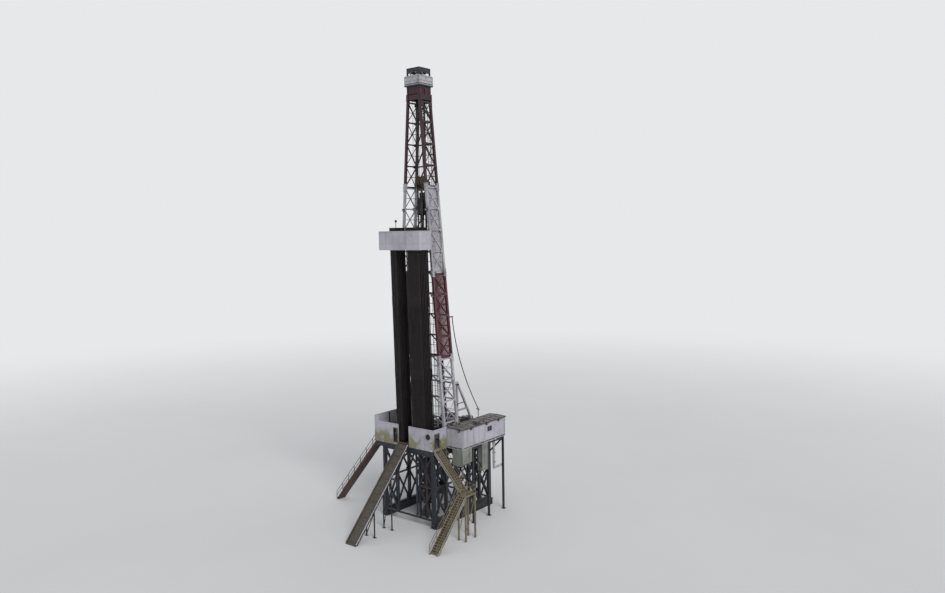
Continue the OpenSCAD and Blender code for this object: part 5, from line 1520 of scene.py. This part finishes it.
def skid_ribs():
    out = SKID_FACE + 0.014
    made = [block((s * SKID_FACE, y - 0.012, 0.03), (s * out, y + 0.012, 0.42), 0.003)
            for y in rising(-1.82, 0.6, 11) for s in SIDES]
    for s in SIDES:
        made.append(rod(0.07, 0.30, 16, "X", (s * 2.18 - 0.15, -1.95, 0.22)))
        made.append(turned([(0.09, 0), (0.09, 0.012), (0.06, 0.02)], 16, "X",
                           outside(s, 2.39, 0.02, 4.05, 0.22)))
        made += blocks([((s * SKID_FACE, -1.92, z), (s * (SKID_FACE + 0.03), 4.20, z + 0.03))
                        for z in (0.0, 0.42)])
    piece("skid_ribs", made, "navy_steel", smooth=30)


def under_floor():
    """The return pipe, service pipes, a cable tray and the webs of the floor beams."""
    made = [tube([(0.0, 0.27, 4.70), (0.0, 1.2, 4.68), (0.0, 4.12, 4.66)], 0.085, 4)]
    made += [rod(0.12, 0.05, 18, "Y", (0, y, 4.68)) for y in (0.5, 1.7, 2.9, 4.1)]
    made += [tube([(x, -1.6, 4.72), (x, 1.3, 4.71), (x, 4.10, 4.72)], 0.03, 2)
             for x in (-1.6, -1.5, -1.4, 1.5, 1.6)]
    piece("under_floor_pipes", made, "machine_dark")
    left, right = TRAY_SIDES
    made = bars([((x, -1.75, 4.70), (x, 4.1, 4.70)) for x in TRAY_SIDES], 0.02, 0.07)
    made += blocks([((left, y, 4.66), (right, y + 0.02, 4.68)) for y in rising(-1.7, 0.3, 20)], 0)
    made += [tube([(x, -1.7, 4.69), (x + 0.01, 1.0, 4.69), (x, 4.0, 4.69)], 0.009, 1)
             for x in rising(-1.70, 0.022, 6)]
    piece("under_floor_tray", made, "navy_steel", smooth=30)
    webs = [upright(x, y, 0.20, 0.02, 4.80, 5.15) for x in (-1.85, -0.95, 0.95, 1.85)
            for y in (-1.45, -0.55, 1.5, 2.5, 3.5)]
    piece("floor_beam_webs", webs, "navy_steel", smooth=0)


def well_stack_fittings():
    """Bolts, valves, lines and clamps; step is a tenth of the stack's height."""
    foot, top = 0.06, 4.45
    step = (top - foot) / 10
    made = []
    for z in (0.09, 2 * step):
        made += bolt_circle(0.252, 14, "Z", (0, 0, z), 1.5)
    made += bolt_circle(0.30, 16, "Z", (0, 0, 8.2 * step + 0.005), 1.3)
    for z in (2.7 * step, 4.2 * step, 5.5 * step):
        for s in SIDES:
            made += bolt_circle(0.15, 8, "X", (s * 0.602, 0, z), 1.1)
            made.append(tube([(s * 0.40, -0.20, z + 0.12), (s * 0.55, -0.34, z + 0.1),
                              (s * 0.55, -0.36, 0.9)], 0.016, 1))
            made.append(rod(0.03, 0.16, 10, "Y", (s * 0.33, -0.36, z)))
        made += [rod(0.022, 0.03, 6, "Y", (x, -0.245, z + t)) for x in (-0.22, -0.08, 0.08, 0.22)
                 for t in (-0.13, 0.13)]
    z = 3.5 * step
    for s in SIDES:
        y = s * 0.50
        made.append(rod(0.09, 0.05, 16, "Y", (0, y - (0.05 if s < 0 else 0), z)))
        made.append(ring(0.10, 0.012, "X", (0.16, y - s * 0.12, z), 18))
        made.append(bar((0.04, y - s * 0.12, z), (0.16, y - s * 0.12, z), 0.03))
    made.append(tube([(0, 0.55, z), (0, 0.95, z), (0, 1.1, z - 0.15), (0, 1.1, 0.35), (0, 1.25, 0.2),
                      (0, 3.6, 0.2)],
                     0.05, 3))
    made.append(tube([(0, -0.55, z), (0, -0.68, z - 0.1), (0, -0.68, 0.3), (0.2, -0.68, 0.15),
                      (0.6, -0.68, 0.12)],
                     0.045, 3))
    made += [rod(0.08, 0.06, 14, "Z", (0, 1.1, up)) for up in (0.5, 1.1)]
    piece("well_stack_fittings", made, "well_steel")


def well_controls():
    hoses = []
    for z, x in zip(rising(1.4, 0.18, 7), rising(0.28, 0.045, 7)):
        hoses.append(tube([(0.20, 0.24, z), (x, 0.42, z - 0.1), (x, 0.62, 1.0), (x, 0.95, 0.30),
                           (x, 1.8, 0.05), (x, 3.60, 0.10)], 0.014, 1))
    piece("control_hoses", hoses, "hose_rubber")
    unit = [panelled((-0.62, 3.58, 0.06), (0.62, 3.98, 0.46), (0, 1, 0), 0.04, 0.015),
            block((-0.66, 3.52, 0), (0.66, 4.02, 0.06), 0.01)]
    for x in rising(-0.5, 0.2, 6):
        unit.append(turned([(0.05, 0), (0.05, 0.26), (0.03, 0.30)], 14, "Z", (x, 3.78, 0.46)))
        unit.append(bar((x, 3.57, 0.36), (x, 3.52, 0.42), 0.02))
    unit.append(tube([(-0.5, 3.78, 0.72), (0.5, 3.78, 0.72)], 0.018, 2))
    piece("control_unit", unit, "machine_dark")
    rings = []
    for x in (-0.45, 0.45):
        for y in (-0.56, 0.56):
            rings += [ring(0.085, 0.012, "Z", (x, y, z), 18) for z in (1.0, 2.6, 4.0)]
            rings += bolt_circle(0.088, 8, "Z", (x, y, 0.026), 0.8)
    piece("well_post_rings", rings, POST_PAINT)
    rim = [ring(0.50, 0.02, "Z", (0, 0, 0.09)), *bolt_circle(0.505, 20, "Z", (0, 0, 0.1), 0.9)]
    piece("cellar_rim", rim, "ground_ring")


frame_plates()
skid_ribs()
under_floor()
well_stack_fittings()
well_controls()

# Studio: a pale floor that fades into the backdrop, soft light from all round and from the right

BACKDROP = (0.80, 0.81, 0.83, 1)


def studio_floor():
    deselect()
    bpy.ops.mesh.primitive_circle_add(vertices=96, radius=260, location=(0, 0, 0), fill_type="NGON")
    ground = bpy.context.object
    ground.name = "studio_floor"
    finish = Finish("studio floor")
    finish.start((0.62, 0.62, 0.63, 1), (0.60, 0.60, 0.61, 1), 0.05)
    material = finish.done((0.8, 0.9), 0.0, 2, 0.0005)
    tree = material.node_tree
    glow = finish.node("ShaderNodeEmission", [("Color", BACKDROP), ("Strength", 1.0)])
    away = finish.node("ShaderNodeVectorMath", [(0, finish.place)], operation="LENGTH").outputs["Value"]
    fade = finish.between(away, 25, 110)
    mixed = finish.node("ShaderNodeMixShader",
                        [(0, fade), (1, finish.shader.outputs[0]), (2, glow.outputs[0])])
    tree.links.new(mixed.outputs[0], tree.nodes["Material Output"].inputs[0])
    ground.data.materials.append(material)


def studio_light():
    """Soft light from all round, the backdrop where the camera sees it, and a wide sun."""
    world = bpy.data.worlds.new("studio")
    scene.world = world
    world.use_nodes = True
    tree = world.node_tree
    tree.nodes.clear()

    def node(kind, inputs, **settings):
        return add_node(tree, kind, inputs, **settings).outputs[0]

    rays = tree.nodes.new("ShaderNodeLightPath").outputs
    seen = rays["Is Camera Ray"]
    for also in ("Is Glossy Ray", "Is Transmission Ray"):
        seen = node("ShaderNodeMath", [(0, seen), (1, rays[also])], operation="ADD", use_clamp=True)
    ambient = node("ShaderNodeBackground", [("Color", (0.94, 0.97, 1, 1)), ("Strength", 0.62)])
    backdrop = node("ShaderNodeBackground", [("Color", BACKDROP)])
    mixed = node("ShaderNodeMixShader", [(0, seen), (1, ambient), (2, backdrop)])
    tree.links.new(mixed, tree.nodes.new("ShaderNodeOutputWorld").inputs[0])
    lamp = bpy.data.lights.new("soft_sun", "SUN")
    lamp.energy = 1.7
    lamp.angle = math.radians(25)
    lamp.color = (1, 0.98, 0.96)
    sun = bpy.data.objects.new("soft_sun", lamp)
    sun.rotation_euler = Vector((0.85, -0.42, 0.75)).to_track_quat("Z", "Y").to_euler()
    scene.collection.objects.link(sun)
    scene.view_settings.view_transform = "Standard"


studio_floor()
studio_light()
